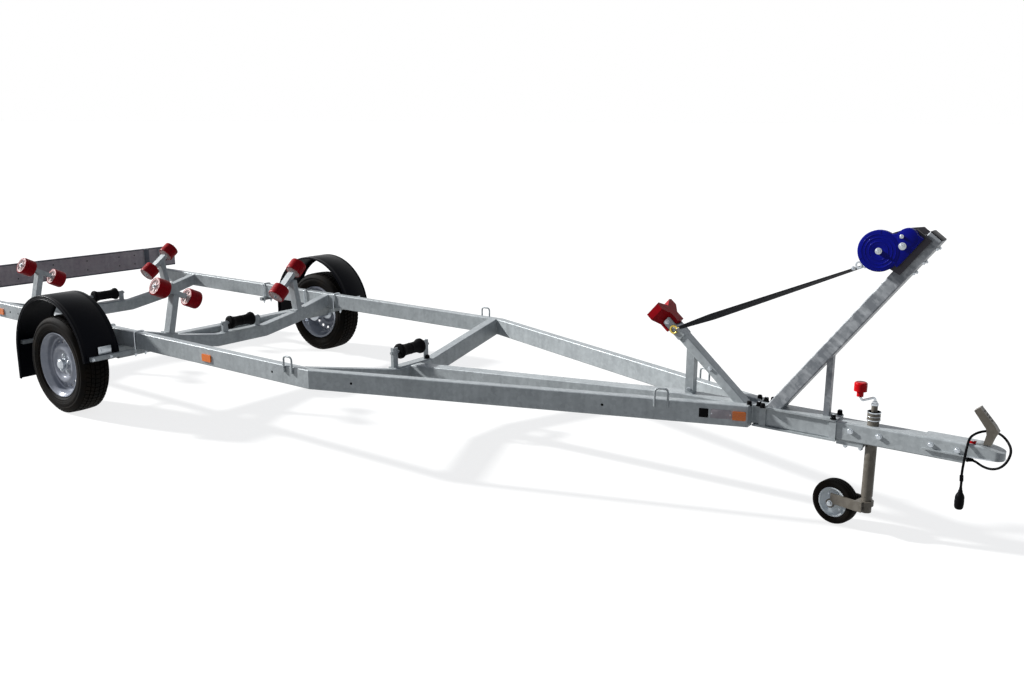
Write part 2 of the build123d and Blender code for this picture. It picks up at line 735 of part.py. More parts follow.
def on_post(along, out):
    """X and Z of a place in the post's plane."""
    return (
        at(POST_FOOT) + along * cos(POST_ANGLE) - out * sin(POST_ANGLE),
        DRAWBAR_TOP + PLATE + along * sin(POST_ANGLE) + out * cos(POST_ANGLE),
    )


STRUT_X = (4229.0, 4254.0)
foot_run = POST_DEPTH / tan(POST_ANGLE)
with BuildPart() as winch_post:
    with BuildSketch(post_plane.offset(-POST_WIDTH / 2)):
        with BuildLine():
            Polyline(
                (0, 0),
                (POST_LENGTH, 0),
                (POST_LENGTH, -POST_DEPTH),
                (-foot_run, -POST_DEPTH),
                close=True,
            )
        make_face()
    extrude(amount=POST_WIDTH)
    fillet(winch_post.edges().filter_by(lambda e: e.length > 900), radius=TUBE_CORNER)
    strut_tops = [
        DRAWBAR_TOP + PLATE + (x - POST_FOOT) * tan(POST_ANGLE) - POST_DEPTH / cos(POST_ANGLE)
        for x in STRUT_X
    ]
    add(
        slab_y(
            [
                (at(STRUT_X[0]), DRAWBAR_TOP + PLATE),
                (at(STRUT_X[1]), DRAWBAR_TOP + PLATE),
                (at(STRUT_X[1]), strut_tops[1] + 3),
                (at(STRUT_X[0]), strut_tops[0] + 3),
            ],
            -15,
            15,
        )
    )
    foot_cut = box((at(3900), at(4300)), (-60, 60), (380, DRAWBAR_TOP + PLATE))
    add(foot_cut, mode=Mode.SUBTRACT)
keep(winch_post.part, "winch_post")

WINCH_BASE = 6.0
WINCH_CHEEKS = ((-56.0, -50.0), (50.0, 56.0))
CASE_RADIUS = 84.0
with BuildPart() as winch_frame:
    with BuildSketch(post_plane.offset(-56)):
        with Locations((921, WINCH_BASE / 2)):
            Rectangle(180, WINCH_BASE)
    extrude(amount=112)
    for y_low, y_high in WINCH_CHEEKS:
        with BuildSketch(post_plane.offset(-y_high)):
            with BuildLine():
                Polyline(
                    (831, -32), (1011, -32), (1011, 40), (969, 82), (855, 150), (809, 96), close=True,
                )
            make_face()
            with Locations((DRUM_ALONG, DRUM_OUT)):
                Circle(62)
        extrude(amount=y_high - y_low)
keep(winch_frame.part, "winch_frame")

with BuildPart() as winch_case:
    with BuildSketch(post_plane.offset(56.2)):
        with Locations((DRUM_ALONG, DRUM_OUT)):
            Circle(CASE_RADIUS)
        with Locations((969, 36)):
            Circle(44)
        with BuildLine():
            Polyline((869, 172), (1001, 68), (969, -8), (855, 6), close=True)
        make_face()
    extrude(amount=26)
    fillet(winch_case.faces().sort_by(Axis.Y)[0].edges(), radius=5)
keep(winch_case.part, "winch_case")

drum_x, drum_z = on_post(DRUM_ALONG, DRUM_OUT)
with BuildPart() as winch_drum:
    add(rod((drum_x, -49.5, drum_z), (drum_x, 49.5, drum_z), 20))
    add(rod((drum_x, -26, drum_z), (drum_x, 26, drum_z), ROLL_RADIUS - 2.5))
keep(winch_drum.part, "winch_drum")

# the strap leaves the underside of the roll and runs straight to the hook on the snubber
# post's near side
HOOK = (at(3514.0), -43.0, 785.0)
STRAP_SIZE = (26.0, 12.0)
strap_fall = atan2(drum_z - ROLL_RADIUS - HOOK[2], drum_x - HOOK[0])
strap_start = Vector(
    drum_x + (ROLL_RADIUS - 2) * sin(strap_fall), 0, drum_z - (ROLL_RADIUS - 2) * cos(strap_fall)
)
strap_end = Vector(*HOOK) + (strap_start - Vector(*HOOK)).normalized() * 28
strap_plane = Plane(origin=strap_end, x_dir=(0, 1, 0), z_dir=strap_start - strap_end)
with BuildPart() as winch_strap:
    with BuildSketch(strap_plane):
        RectangleRounded(*STRAP_SIZE, 5)
    extrude(amount=(strap_start - strap_end).length - ROLL_RADIUS)
keep(winch_strap.part, "winch_strap")

with BuildPart() as strap_hook:
    with BuildSketch(Plane(origin=(HOOK[0], HOOK[1] - 5, HOOK[2]), z_dir=(0, 1, 0))):
        Circle(19)
        Circle(9, mode=Mode.SUBTRACT)
    extrude(amount=10)
    add(rod(tuple(strap_end), tuple(Vector(*HOOK) + (strap_end - Vector(*HOOK)) * 0.55), 6))
keep(strap_hook.part, "strap_hook")

# ---- bow snubber -----------------------------------------------------------------------
# its own plane: across the trailer, and up along the post

snub_up = Vector(-cos(SNUB_ANGLE), 0, sin(SNUB_ANGLE))
snub_top = Vector(at(SNUB_TOP[0]), 0, SNUB_TOP[1])
snub_plane = Plane(origin=snub_top, x_dir=(0, 1, 0), z_dir=(sin(SNUB_ANGLE), 0, cos(SNUB_ANGLE)))
SNUB_STRUT_X = (3575.0, 3615.0)
snub_length = (SNUB_TOP[1] - DRAWBAR_TOP) / sin(SNUB_ANGLE) + SNUB_DEPTH
with BuildPart() as snubber_post:
    with BuildSketch(snub_plane.offset(-SNUB_DEPTH / 2)):
        with Locations((0, SNUB_TONGUE - (snub_length + SNUB_TONGUE) / 2)):
            Rectangle(SNUB_WIDTH, snub_length + SNUB_TONGUE)
    extrude(amount=SNUB_DEPTH)
    fillet(snubber_post.edges().filter_by(lambda e: e.length > 300), radius=5)
    strut_top = [
        SNUB_TOP[1] - (x - SNUB_TOP[0]) * tan(SNUB_ANGLE) - SNUB_DEPTH / 2 / cos(SNUB_ANGLE) + 3
        for x in SNUB_STRUT_X
    ]
    add(
        slab_y(
            [
                (at(SNUB_STRUT_X[0]), DRAWBAR_TOP),
                (at(SNUB_STRUT_X[1]), DRAWBAR_TOP),
                (at(SNUB_STRUT_X[1]), strut_top[1]),
                (at(SNUB_STRUT_X[0]), strut_top[0]),
            ],
            -20,
            20,
        )
    )
    foot_cut = box((at(3500), at(4000)), (-60, 60), (380, DRAWBAR_TOP))
    add(foot_cut, mode=Mode.SUBTRACT)
    # two ears hold the block
    for sign in SIDES.values():
        with BuildSketch(Plane(origin=snub_top, x_dir=snub_up, z_dir=(0, sign, 0)).offset(30)):
            with Locations((17, 0)):
                RectangleRounded(114, SNUB_DEPTH, 8)
        extrude(amount=6)
keep(snubber_post.part, "snubber_post")

BLOCK_HALF = 40.0  # along the boat's stem
BLOCK_OUTLINE = (  # across the trailer, and up along the post
    (-29.7, 30), (29.7, 30), (29.7, 76), (72, 114), (71, 148), (55, 152), (0, 121),
    (-55, 152), (-71, 148), (-72, 114), (-29.7, 76),
)
with BuildPart() as snubber_block:
    with BuildSketch(snub_plane.offset(-BLOCK_HALF)):
        with BuildLine():
            Polyline(*BLOCK_OUTLINE, close=True)
        make_face()
    extrude(amount=2 * BLOCK_HALF)
keep(snubber_block.part, "snubber_block")

# ---- jockey wheel ----------------------------------------------------------------------

JOCKEY_TUBE_BOTTOM = 168.0
JOCKEY_CAP = (508.0, 545.0)
with BuildPart() as jockey_tube:
    add(
        rod(
            (at(JOCKEY_X), 0, JOCKEY_TUBE_BOTTOM),
            (at(JOCKEY_X), 0, JOCKEY_CAP[0]),
            JOCKEY_TUBE_RADIUS,
        )
    )
    add(rod((at(JOCKEY_X), 0, JOCKEY_CAP[0]), (at(JOCKEY_X), 0, JOCKEY_CAP[1]), 27))
    add(rod((at(JOCKEY_X), 0, JOCKEY_CAP[1]), (at(JOCKEY_X), 0, 580), 13))
    add(
        rod(
            (at(JOCKEY_X), 0, JOCKEY_TUBE_BOTTOM - 1),
            (at(JOCKEY_X), 0, JOCKEY_CAP[0] - 10),
            JOCKEY_INNER_RADIUS + RUNNING,
        ),
        mode=Mode.SUBTRACT,
    )
keep(jockey_tube.part, "jockey_tube")

CRANK = ((4438, 580), (4438, 607), (4385, 584), (4374, 600))  # X from the axle, Z
with BuildPart() as jockey_crank:
    add(wire_rod([(at(x), 0, z) for x, z in CRANK], 5, 8))
    crank_cut = box((at(4354), at(4394)), (-20, 20), (599.8, 632))
    add(crank_cut, mode=Mode.SUBTRACT)
keep(jockey_crank.part, "jockey_crank")
with BuildPart() as jockey_knob:
    add(rod((at(4374), 0, 600.2), (at(4374), 0, 626), 14))
    add(rod((at(4374), 0, 624), (at(4374), 0, 663), 27))
    fillet(jockey_knob.edges().filter_by(GeomType.CIRCLE).group_by(Axis.Z)[-1], radius=8)
keep(jockey_knob.part, "jockey_knob")

INNER_TOP = 470.0
with BuildPart() as jockey_inner_tube:
    add(rod((at(JOCKEY_X), 0, 96), (at(JOCKEY_X), 0, INNER_TOP), JOCKEY_INNER_RADIUS))
    add(rod((at(JOCKEY_X), 0, 96), (at(JOCKEY_X), 0, FORK_Z[0] - 0.5), 24))
keep(jockey_inner_tube.part, "jockey_inner_tube")

# the fork and wheel trail behind the tube; their plane's x points from the wheel to the tube
trail_dir = (cos(JOCKEY_YAW), sin(JOCKEY_YAW), 0)
fork_plane = Plane(origin=(at(JOCKEY_X), 0, 0), x_dir=trail_dir, z_dir=(0, 0, 1))
ARM_IN = JOCKEY_WHEEL_WIDTH / 2 + 5.5
ARM_OUT = ARM_IN + 8
PIN_RADIUS = 6.0
with BuildPart() as jockey_fork:
    with BuildSketch(fork_plane.offset(FORK_Z[0])):
        Circle(31)
        with Locations((-14, 0)):
            Rectangle(34, 2 * ARM_OUT)
    extrude(amount=FORK_Z[1] - FORK_Z[0])
    for sign in SIDES.values():
        with BuildSketch(fork_plane.offset(102)):
            with Locations(((3 - JOCKEY_TRAIL) / 2, sign * (ARM_IN + ARM_OUT) / 2)):
                Rectangle(JOCKEY_TRAIL + 3, ARM_OUT - ARM_IN)
        extrude(amount=45)
    with BuildSketch(fork_plane.offset(100)):
        Circle(JOCKEY_INNER_RADIUS + RUNNING)
    extrude(amount=60, mode=Mode.SUBTRACT)
    with BuildSketch(fork_plane.offset(90)):
        Circle(26)
    extrude(amount=FORK_Z[0] - 90, mode=Mode.SUBTRACT)
    side_plane = Plane(
        origin=(
            at(JOCKEY_X) - JOCKEY_TRAIL * trail_dir[0],
            -JOCKEY_TRAIL * trail_dir[1],
            JOCKEY_WHEEL_RADIUS,
        ),
        z_dir=(-trail_dir[1], trail_dir[0], 0),
    )
    for offset_side in (-ARM_OUT, ARM_IN):
        with BuildSketch(side_plane.offset(offset_side)):
            Circle(20)
        extrude(amount=ARM_OUT - ARM_IN)
    with BuildSketch(side_plane.offset(-ARM_OUT - 7)):
        Circle(PIN_RADIUS)
    extrude(amount=2 * ARM_OUT + 14)
keep(jockey_fork.part, "jockey_fork")

with BuildPart() as jockey_tyre:
    with BuildSketch(side_plane.offset(-JOCKEY_WHEEL_WIDTH / 2)):
        Circle(JOCKEY_WHEEL_RADIUS)
        Circle(68, mode=Mode.SUBTRACT)
    extrude(amount=JOCKEY_WHEEL_WIDTH)
    rounded = jockey_tyre.edges().filter_by(lambda e: abs(e.length - 628.3) < 2)
    fillet(rounded, radius=9)
keep(jockey_tyre.part, "jockey_tyre")

with BuildPart() as jockey_rim:
    with BuildSketch(side_plane.offset(-25)):
        Circle(67.9)
        Circle(60, mode=Mode.SUBTRACT)
    extrude(amount=50)
    with BuildSketch(side_plane.offset(-4)):
        Circle(62)
    extrude(amount=8)
    with BuildSketch(side_plane.offset(-ARM_IN + 1)):
        Circle(16)
    extrude(amount=2 * ARM_IN - 2)
    with BuildSketch(side_plane.offset(-60)):
        Circle(PIN_RADIUS + RUNNING)
    extrude(amount=120, mode=Mode.SUBTRACT)
keep(jockey_rim.part, "jockey_rim")

# ---- lighting cable --------------------------------------------------------------------
# a free cable: out of the grommet, one loop hung over the coupling's handle, and the plug
# hanging below; X from the axle, Y and Z

CABLE_ROUTE = (
    (4820.4, -22, 421), (4844, -22, 421), (4876, -39, 408), (4912, -54, 407), (4944, -60, 421),
    (4967, -58, 452), (4974, -34, 491), (4952, -6, 519), (4918, 27, 534), (4880, 38, 536),
    (4848, 32, 528), (4830, 8, 521), (4819, -30, 513), (4818, -60, 482), (4816, -69, 440),
    (4813, -69, 400), (4812, -69, 366), (4814, -68, 334), (4814, -68, 304),
)
route = [Vector(at(x), y, z) for x, y, z in CABLE_ROUTE]
radii = []
for before, corner, after in zip(route, route[1:], route[2:]):
    turn = radians((corner - before).get_angle(after - corner))
    shorter = min((corner - before).length, (after - corner).length)
    radii.append(0.45 * shorter / tan(turn / 2))
print("cable radii", [round(r) for r in radii])
with BuildPart() as cable:
    with BuildLine() as cable_line:
        FilletPolyline(*route, radius=radii)
    with BuildSketch(Plane(origin=route[0], z_dir=route[1] - route[0])):
        Circle(CABLE_RADIUS)
    sweep(path=cable_line.line)
cable_length = sum(edge.length for edge in cable_line.edges())
print(
    "cable length", round(cable_length), "volume ratio",
    round(cable.part.volume / (cable_length * 3.14159265 * CABLE_RADIUS**2), 4),
)
keep(cable.part, "cable")

PLUG_SECTION = (  # distance below the cable's end, radius
    (0, 6.5), (10, 9), (20, 13.5), (28, 17.5), (56, 18), (72, 17), (80, 12),
)
with BuildPart() as plug:
    end = route[-1]
    with BuildSketch(Plane.XZ.offset(-end.Y)):
        with BuildLine():
            Polyline(
                (end.X, end.Z),
                *[(end.X + r, end.Z - drop) for drop, r in PLUG_SECTION],
                (end.X, end.Z - PLUG_SECTION[-1][0]),
                close=True,
            )
        make_face()
    revolve(axis=Axis((end.X, end.Y, 0), (0, 0, 1)))
keep(plug.part, "plug")
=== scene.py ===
"""Looks and stage of a galvanised boat trailer.

Metres, in the trailer's own frame: +X forward to the coupling, +Y left, +Z up.
Places along the trailer are written in millimetres from the axle, and spot() turns them
into the frame.
"""

import json
from math import atan2, cos, pi, radians, sin

import bmesh
import bpy
from mathutils import Matrix, Vector


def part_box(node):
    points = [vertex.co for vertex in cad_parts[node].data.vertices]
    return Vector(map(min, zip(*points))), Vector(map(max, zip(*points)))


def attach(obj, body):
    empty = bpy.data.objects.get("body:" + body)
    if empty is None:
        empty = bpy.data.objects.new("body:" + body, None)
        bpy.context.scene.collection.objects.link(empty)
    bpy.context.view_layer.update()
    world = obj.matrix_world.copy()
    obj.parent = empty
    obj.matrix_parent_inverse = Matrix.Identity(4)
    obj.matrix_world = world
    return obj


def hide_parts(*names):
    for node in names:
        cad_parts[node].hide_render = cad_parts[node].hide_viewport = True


bl_info = {
    "name": "Boat Trailer",
    "version": (1, 0, 0),
    "blender": (4, 5, 0),
    "location": "View3D > Sidebar > Trailer",
    "description": "Dresses the packed frame of a roller boat trailer and lights it",
    "category": "Object",
}

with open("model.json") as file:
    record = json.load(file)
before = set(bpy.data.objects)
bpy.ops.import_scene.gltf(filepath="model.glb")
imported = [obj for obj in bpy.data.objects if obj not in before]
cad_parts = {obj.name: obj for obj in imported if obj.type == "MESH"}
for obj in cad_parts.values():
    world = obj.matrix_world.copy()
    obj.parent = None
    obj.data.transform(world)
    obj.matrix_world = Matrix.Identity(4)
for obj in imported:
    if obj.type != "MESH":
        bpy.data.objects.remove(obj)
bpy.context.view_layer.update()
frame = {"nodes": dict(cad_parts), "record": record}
NODES = frame["nodes"]
SIDES = {"right": -1, "left": 1}
AXLE_X = -1567.5  # the axle's place along the frame, in millimetres

# ---- sizes shared by several pieces, in millimetres -------------------------------------

FRAME_HALF = 830.0  # from the middle to a rail's outer face
RAIL_KNEE = 1877.0  # where the rails bend in towards the drawbar
FRONT_HALF = 93.3  # as FRAME_HALF, at the bent rails' front end
FRONT_ANGLE = atan2(FRAME_HALF - FRONT_HALF, 3920.0 - RAIL_KNEE)
TRACK_HALF = 1037.5  # from the middle to a road wheel's middle plane
WHEEL_Z = 297.0  # a road wheel's radius, and the height of its axis
POST_ANGLE = radians(53.0)  # the winch post's slope
POST_FOOT = 3976.7  # where the winch post stands, and at what height
POST_FOOT_Z = 493.0
JOCKEY_X = 4438.0  # the jockey leg's place
JOCKEY_TRAIL = 144.0  # how far the jockey wheel's axle trails behind its leg
JOCKEY_YAW = radians(-13.0)  # the way the jockey wheel's fork is turned at rest
BOARD_EDGES = (513.0, 676.0)  # heights of the light board's lower and upper edges
TREAD_EDGE = 0.069  # half the tread's width, in metres
HAND_HOLE = 0.0125  # half the long way of a rim's oval holes, in metres
FLAP_FOOT = 157.0  # height of the mudguard flaps' lower edge
DRUM = (855.0, 90.0)  # the winch drum's middle in the post's plane
WOUND = 0.0395  # radius of the strap wound on the drum, in metres
STRAP_HALF = 0.023  # half the strap's width, in metres
STRAP_THICK = 0.0032  # the strap's thickness, in metres
GUARD_WIDE = 225  # a mudguard's width
GUARD_WALL = 3.2  # a mudguard's thickness
BLOCK_SHARE = 0.8  # how much of a tread pitch the block takes
BOLT_CIRCLE = 0.052  # radius of the wheel bolts' circle, in metres
VALVE_CIRCLE = 0.157  # radius at which a valve stands, in metres
RIM_HOLES = 16  # oval holes round a rim
CLAMP_XS = (-382.0, 79.0, 381.0)  # the U-bolts' places along the rails

# ---- the light and the camera ------------------------------------------------------------

WHITE = (1, 1, 1, 1)
FLOOR_LIFT = 0.8  # what the floor adds to its own colour, where it is looked at
# a sun lamp's name, share of the key strength, angle in degrees and way to it
SUNS = (
    ("sun_key", 1.0, 4.0, (-2.1, -0.60, 1.15)),
    ("sun_fill", 0.02, 60.0, (0.9, -0.7, 0.5)),
)
FLOOR_HALF = 600.0  # half the floor's side, in metres
CAMERA_PLACE = (5500.04, -4055.0, 1732.74)  # from the axle, in millimetres
CAMERA_TURNS = (126.03, -12.86, 0.2)  # yaw, pitch and roll, in degrees
CAMERA_LENS = 33.99  # focal length, in millimetres

# ---- places ------------------------------------------------------------------------------


def spot(x, y, z):
    """A place given from the axle in millimetres, in the frame's metres."""
    return Vector(((AXLE_X + x) / 1000, y / 1000, z / 1000))


def upright(x, y, z):
    """A matrix at a place given from the axle in millimetres, square to the trailer."""
    return Matrix.Translation(spot(x, y, z))


def shift(x=0.0, y=0.0, z=0.0):
    """A step in millimetres, as a matrix."""
    return Matrix.Translation((x / 1000, y / 1000, z / 1000))


def facing(point, out, along=(0, 0, 1)):
    """A matrix at a point whose Z points out, with its X as near along as it can be."""
    z = Vector(out).normalized()
    x = Vector(along) - z * Vector(along).dot(z)
    if x.length < 1e-4:
        x = z.orthogonal()
    x.normalize()
    turned = Matrix((x, z.cross(x), z)).transposed().to_4x4()
    turned.translation = point
    return turned


def post_place():
    """The winch post's own plane: X up along it, Y out from its rear face, Z to the right."""
    place = Matrix((
        (cos(POST_ANGLE), -sin(POST_ANGLE), 0), (0, 0, -1), (sin(POST_ANGLE), cos(POST_ANGLE), 0)
    )).to_4x4()
    place.translation = spot(POST_FOOT, 0, POST_FOOT_Z)
    return place


# ---- mesh tools --------------------------------------------------------------------------


def since(bm, before):
    """The vertices that weren't there before."""
    return [vert for vert in bm.verts if vert not in before]


def swept_end(geometry):
    """The vertices that an extrusion made, and the edges between them."""
    verts = [item for item in geometry if isinstance(item, bmesh.types.BMVert)]
    fresh = set(verts)
    edges = [
        item for item in geometry
        if isinstance(item, bmesh.types.BMEdge) and fresh.issuperset(item.verts)
    ]
    return verts, edges


def ease(bm, before, width, segments=2):
    """Rounds the edges of what is newer than before, by a width in millimetres."""
    edges = {edge for vert in since(bm, before) for edge in vert.link_edges}
    bmesh.ops.bevel(
        bm, geom=list(edges), offset=width / 1000, segments=segments, profile=0.5,
        affect="EDGES", material=-1, offset_type="OFFSET", clamp_overlap=True,
    )


def band(inner, outer, low, high):
    """The profile of a plain ring: its radii, and the heights of its two faces."""
    return [(inner, low), (outer, low), (outer, high), (inner, high)]


def mirrored(half):
    """Half a (radius, height) profile, followed by its mirror image."""
    return half + [(r, -h) for r, h in reversed(half)]


def chain(bm, profile, closed):
    """Vertices at (radius, height) in millimetres, and the edges along them."""
    points = [bm.verts.new((r / 1000, 0, h / 1000)) for r, h in profile]
    lines = [bm.edges.new(pair) for pair in zip(points, points[1:])]
    if closed:
        lines.append(bm.edges.new((points[-1], points[0])))
    return points + lines


def spin(bm, geometry, angle, steps, axis=(0, 0, 1), merge=False, copies=False):
    """Sweeps or copies geometry round an axis, and hands back what the last step made."""
    return bmesh.ops.spin(
        bm, geom=geometry, cent=(0, 0, 0), axis=axis, dvec=(0, 0, 0), angle=angle,
        steps=steps, use_merge=merge, use_duplicate=copies,
    )["geom_last"]


def lathe(bm, profile, place, steps=48, closed=False):
    """Spins a profile of (radius, height) in millimetres about the Z of a place."""
    before = set(bm.verts)
    spin(bm, chain(bm, profile, closed), 2 * pi, steps, merge=True)
    bmesh.ops.remove_doubles(bm, verts=since(bm, before), dist=1e-6)
    bmesh.ops.transform(bm, matrix=place, verts=since(bm, before))


def block(bm, size, place, bevel):
    """A box of a size in millimetres, centred on a place, with its edges eased."""
    before = set(bm.verts)
    scale = Matrix.Diagonal((*(side / 1000 for side in size), 1))
    bmesh.ops.create_cube(bm, size=1.0, matrix=place @ scale)
    ease(bm, before, bevel)


def plate(bm, outline, thick, place, bevel):
    """An outline in a place's X and Y, in millimetres, given a thickness along its Z."""
    before = set(bm.verts)
    corners = [bm.verts.new((x / 1000, y / 1000, 0)) for x, y in outline]
    face = bm.faces.new(corners)
    grown = bmesh.ops.extrude_face_region(bm, geom=[face])
    raised = [item for item in grown["geom"] if isinstance(item, bmesh.types.BMVert)]
    bmesh.ops.translate(bm, verts=raised, vec=(0, 0, thick / 1000))
    ease(bm, before, bevel)
    bmesh.ops.transform(bm, matrix=place, verts=since(bm, before))


def bolt(bm, point, out, across=17.0, stud=0.0, washer=True):
    """A hexagon head or nut on its washer, with a stud's end standing out of it."""
    place = facing(point, out, (0.3, 0.2, 1))
    lift = 0.0
    if washer:
        lift = 1.6
        r = across * 0.68
        lathe(bm, [(0, 0), (r, 0), (r, 1.2), (across * 0.62, lift), (0, lift)], place, steps=20)
    height = across * 0.5
    before = set(bm.verts)
    middle = shift(z=lift + height / 2)
    bmesh.ops.create_cone(
        bm, cap_ends=True, segments=6, radius1=across * 0.5774 / 1000,
        radius2=across * 0.5774 / 1000, depth=height / 1000, matrix=place @ middle,
    )
    ease(bm, before, across * 0.035, segments=1)
    if stud:
        r = across * 0.29
        top = lift + height + stud
        lathe(bm, [(0, lift), (r, lift), (r, top - 1), (r - 1, top), (0, top)], place, steps=14)


def wire(name, points, radius, resolution=8, sides=3):
    """A curve object of a round wire through control points in metres."""
    data = bpy.data.curves.new(name, "CURVE")
    data.dimensions = "3D"
    data.bevel_depth = radius / 1000
    data.bevel_resolution = sides
    data.resolution_u = resolution
    data.use_fill_caps = True
    spline = data.splines.new("NURBS")
    spline.points.add(len(points) - 1)
    for target, point in zip(spline.points, points):
        target.co = (*point, 1)
    spline.order_u = 3
    spline.use_endpoint_u = True
    return linked(name, data)


def evaluated_mesh(piece):
    """A new mesh of a piece as its modifiers or its bevel leave it."""
    bpy.context.view_layer.update()
    graph = bpy.context.evaluated_depsgraph_get()
    return bpy.data.meshes.new_from_object(piece.evaluated_get(graph))


def linked(name, data):
    """A new object of a mesh, a curve, a lamp or a camera, in the scene."""
    piece = bpy.data.objects.new(name, data)
    bpy.context.scene.collection.objects.link(piece)
    return piece


def solid(bm, name):
    """A new object of a bmesh, which is given up."""
    mesh = bpy.data.meshes.new(name)
    bm.to_mesh(mesh)
    bm.free()
    return linked(name, mesh)


def bent_wire(name, points, radius, slot, finish=None, replaces=()):
    """A wire made a mesh, as a piece of the trailer."""
    curve = wire(name + "_line", points, radius)
    mesh = evaluated_mesh(curve)
    bpy.data.objects.remove(curve)
    mesh.name = name
    piece = linked(name, mesh)
    mesh.shade_smooth()
    return settle(piece, slot, "chassis", replaces, finish)


def finish_mesh(bm, name, slot, body="chassis", replaces=(), smooth=32.0, finish=None):
    """Turns a bmesh into a piece of the trailer: its slot, the body it rides, its finish."""
    bmesh.ops.recalc_face_normals(bm, faces=bm.faces)
    piece = solid(bm, name)
    piece.data.shade_smooth()
    piece.data.set_sharp_from_angle(angle=radians(smooth))
    return settle(piece, slot, body, replaces, finish)


def pierce(piece, cut):
    """Cuts a bmesh's shapes out of a piece and makes the result its mesh."""
    bmesh.ops.recalc_face_normals(cut, faces=cut.faces)
    tool = solid(cut, "cutters")
    holes = piece.modifiers.new("holes", "BOOLEAN")
    holes.operation = "DIFFERENCE"
    holes.solver = "EXACT"
    holes.object = tool
    done = evaluated_mesh(piece)
    piece.modifiers.clear()
    bpy.data.objects.remove(tool)
    old = piece.data
    piece.data = done
    bpy.data.meshes.remove(old)
    done.name = piece.name


def settle(piece, slot, body="chassis", replaces=(), finish=None):
    """Gives a piece its finish, which is its slot's unless named, and the body it rides on."""
    piece.data.materials.clear()
    piece.data.materials.append(FINISHES[finish or slot])
    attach(piece, body)
    if replaces:
        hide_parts(*replaces)
    return piece


# ---- finishes ----------------------------------------------------------------------------


def tone(code):
    """An sRGB hex colour as the linear colour that a socket takes."""
    parts = [int(code[i : i + 2], 16) / 255 for i in (1, 3, 5)]
    return (*[p / 12.92 if p <= 0.04045 else ((p + 0.055) / 1.055) ** 2.4 for p in parts], 1)


def add_node(tree, kind, inputs=None, **settings):
    """Adds a node with its settings, its values and its links."""
    made = tree.nodes.new(kind)
    for name, value in settings.items():
        setattr(made, name, value)
    for socket, value in (inputs or {}).items():
        if isinstance(value, bpy.types.NodeSocket):
            tree.links.new(value, made.inputs[socket])
        else:
            made.inputs[socket].default_value = value
    return made


def blank(name, colour, roughness, metallic=0.0, **sockets):
    """A material with its plain values set: the tree, its shader and Object coordinates."""
    material = bpy.data.materials.new(name)
    material.use_nodes = True
    tree = material.node_tree
    shader = tree.nodes["Principled BSDF"]
    shader.inputs["Base Color"].default_value = tone(colour)
    shader.inputs["Roughness"].default_value = roughness
    shader.inputs["Metallic"].default_value = metallic
    for socket, value in sockets.items():
        shader.inputs[socket.replace("_", " ")].default_value = value
    place = add_node(tree, "ShaderNodeTexCoord").outputs["Object"]
    material.diffuse_color = tone(colour)
    return material, tree, shader, place


def noise(tree, place, scale, detail):
    """A noise texture on the piece's own coordinates."""
    return add_node(
        tree, "ShaderNodeTexNoise", {"Vector": place, "Scale": scale, "Detail": detail}
    ).outputs["Fac"]


def tint(tree, shader, share, pale, dark):
    """Colours a shader between two tones, by a share from 0 to 1."""
    mix = add_node(
        tree, "ShaderNodeMix", {0: share, 6: tone(pale), 7: tone(dark)}, data_type="RGBA"
    )
    tree.links.new(mix.outputs[2], shader.inputs["Base Color"])


def vary_roughness(tree, shader, share, low, high):
    """Runs a shader's roughness from low to high, by a share from 0 to 1."""
    rough = add_node(tree, "ShaderNodeMapRange", {"Value": share, "To Min": low, "To Max": high})
    tree.links.new(rough.outputs[0], shader.inputs["Roughness"])


def relief(tree, shader, height, strength, depth):
    """Bumps a shader by a height texture, its depth in metres."""
    bump = add_node(
        tree, "ShaderNodeBump", {"Strength": strength, "Distance": depth, "Height": height}
    )
    tree.links.new(bump.outputs[0], shader.inputs["Normal"])


def hot_dip_zinc(name="hot_dip_zinc", pale="#BEC4C5", dark="#858A8C", lean=0.0, drained=0.5):
    """Steel dipped in molten zinc: flat crystals 10 to 20 mm across, each a slightly
    different grey, a dull sheen that clouds over in patches, and runs where it drained."""
    material, tree, shader, place = blank(name, pale, 0.42, 0.12, Specular_IOR_Level=0.25)
    bent = add_node(tree, "ShaderNodeTexNoise", {"Vector": place, "Scale": 45.0, "Detail": 2.0})
    warped = add_node(
        tree, "ShaderNodeVectorMath",
        {0: bent.outputs["Color"], 1: (0.012, 0.012, 0.012), 2: place}, operation="MULTIPLY_ADD",
    )
    crystals = add_node(
        tree, "ShaderNodeTexVoronoi", {"Vector": warped.outputs[0], "Scale": 62.0}, feature="F1"
    )
    turned = add_node(
        tree, "ShaderNodeVectorRotate", {"Vector": place, "Angle": lean}, rotation_type="Y_AXIS"
    )
    streaks = add_node(
        tree, "ShaderNodeMapping", {"Vector": turned.outputs[0], "Scale": (36.0, 36.0, 5.0)}
    )
    grey = add_node(tree, "ShaderNodeSeparateColor", {0: crystals.outputs["Color"]})
    spread = add_node(
        tree, "ShaderNodeMath", {0: grey.outputs[0], 1: 0.22, 2: -0.12}, operation="MULTIPLY_ADD"
    )
    patch = add_node(
        tree, "ShaderNodeMath", {0: noise(tree, place, 9.0, 6.0), 1: 0.6, 2: spread.outputs[0]},
        operation="MULTIPLY_ADD",
    )
    both = add_node(
        tree, "ShaderNodeMath",
        {0: noise(tree, streaks.outputs[0], 1.0, 3.0), 1: drained, 2: patch.outputs[0]},
        operation="MULTIPLY_ADD", use_clamp=True,
    )
    tint(tree, shader, both.outputs[0], pale, dark)
    vary_roughness(tree, shader, grey.outputs[1], 0.36, 0.46)
    relief(tree, shader, noise(tree, place, 190.0, 2.0), 0.12, 0.0006)
    return material


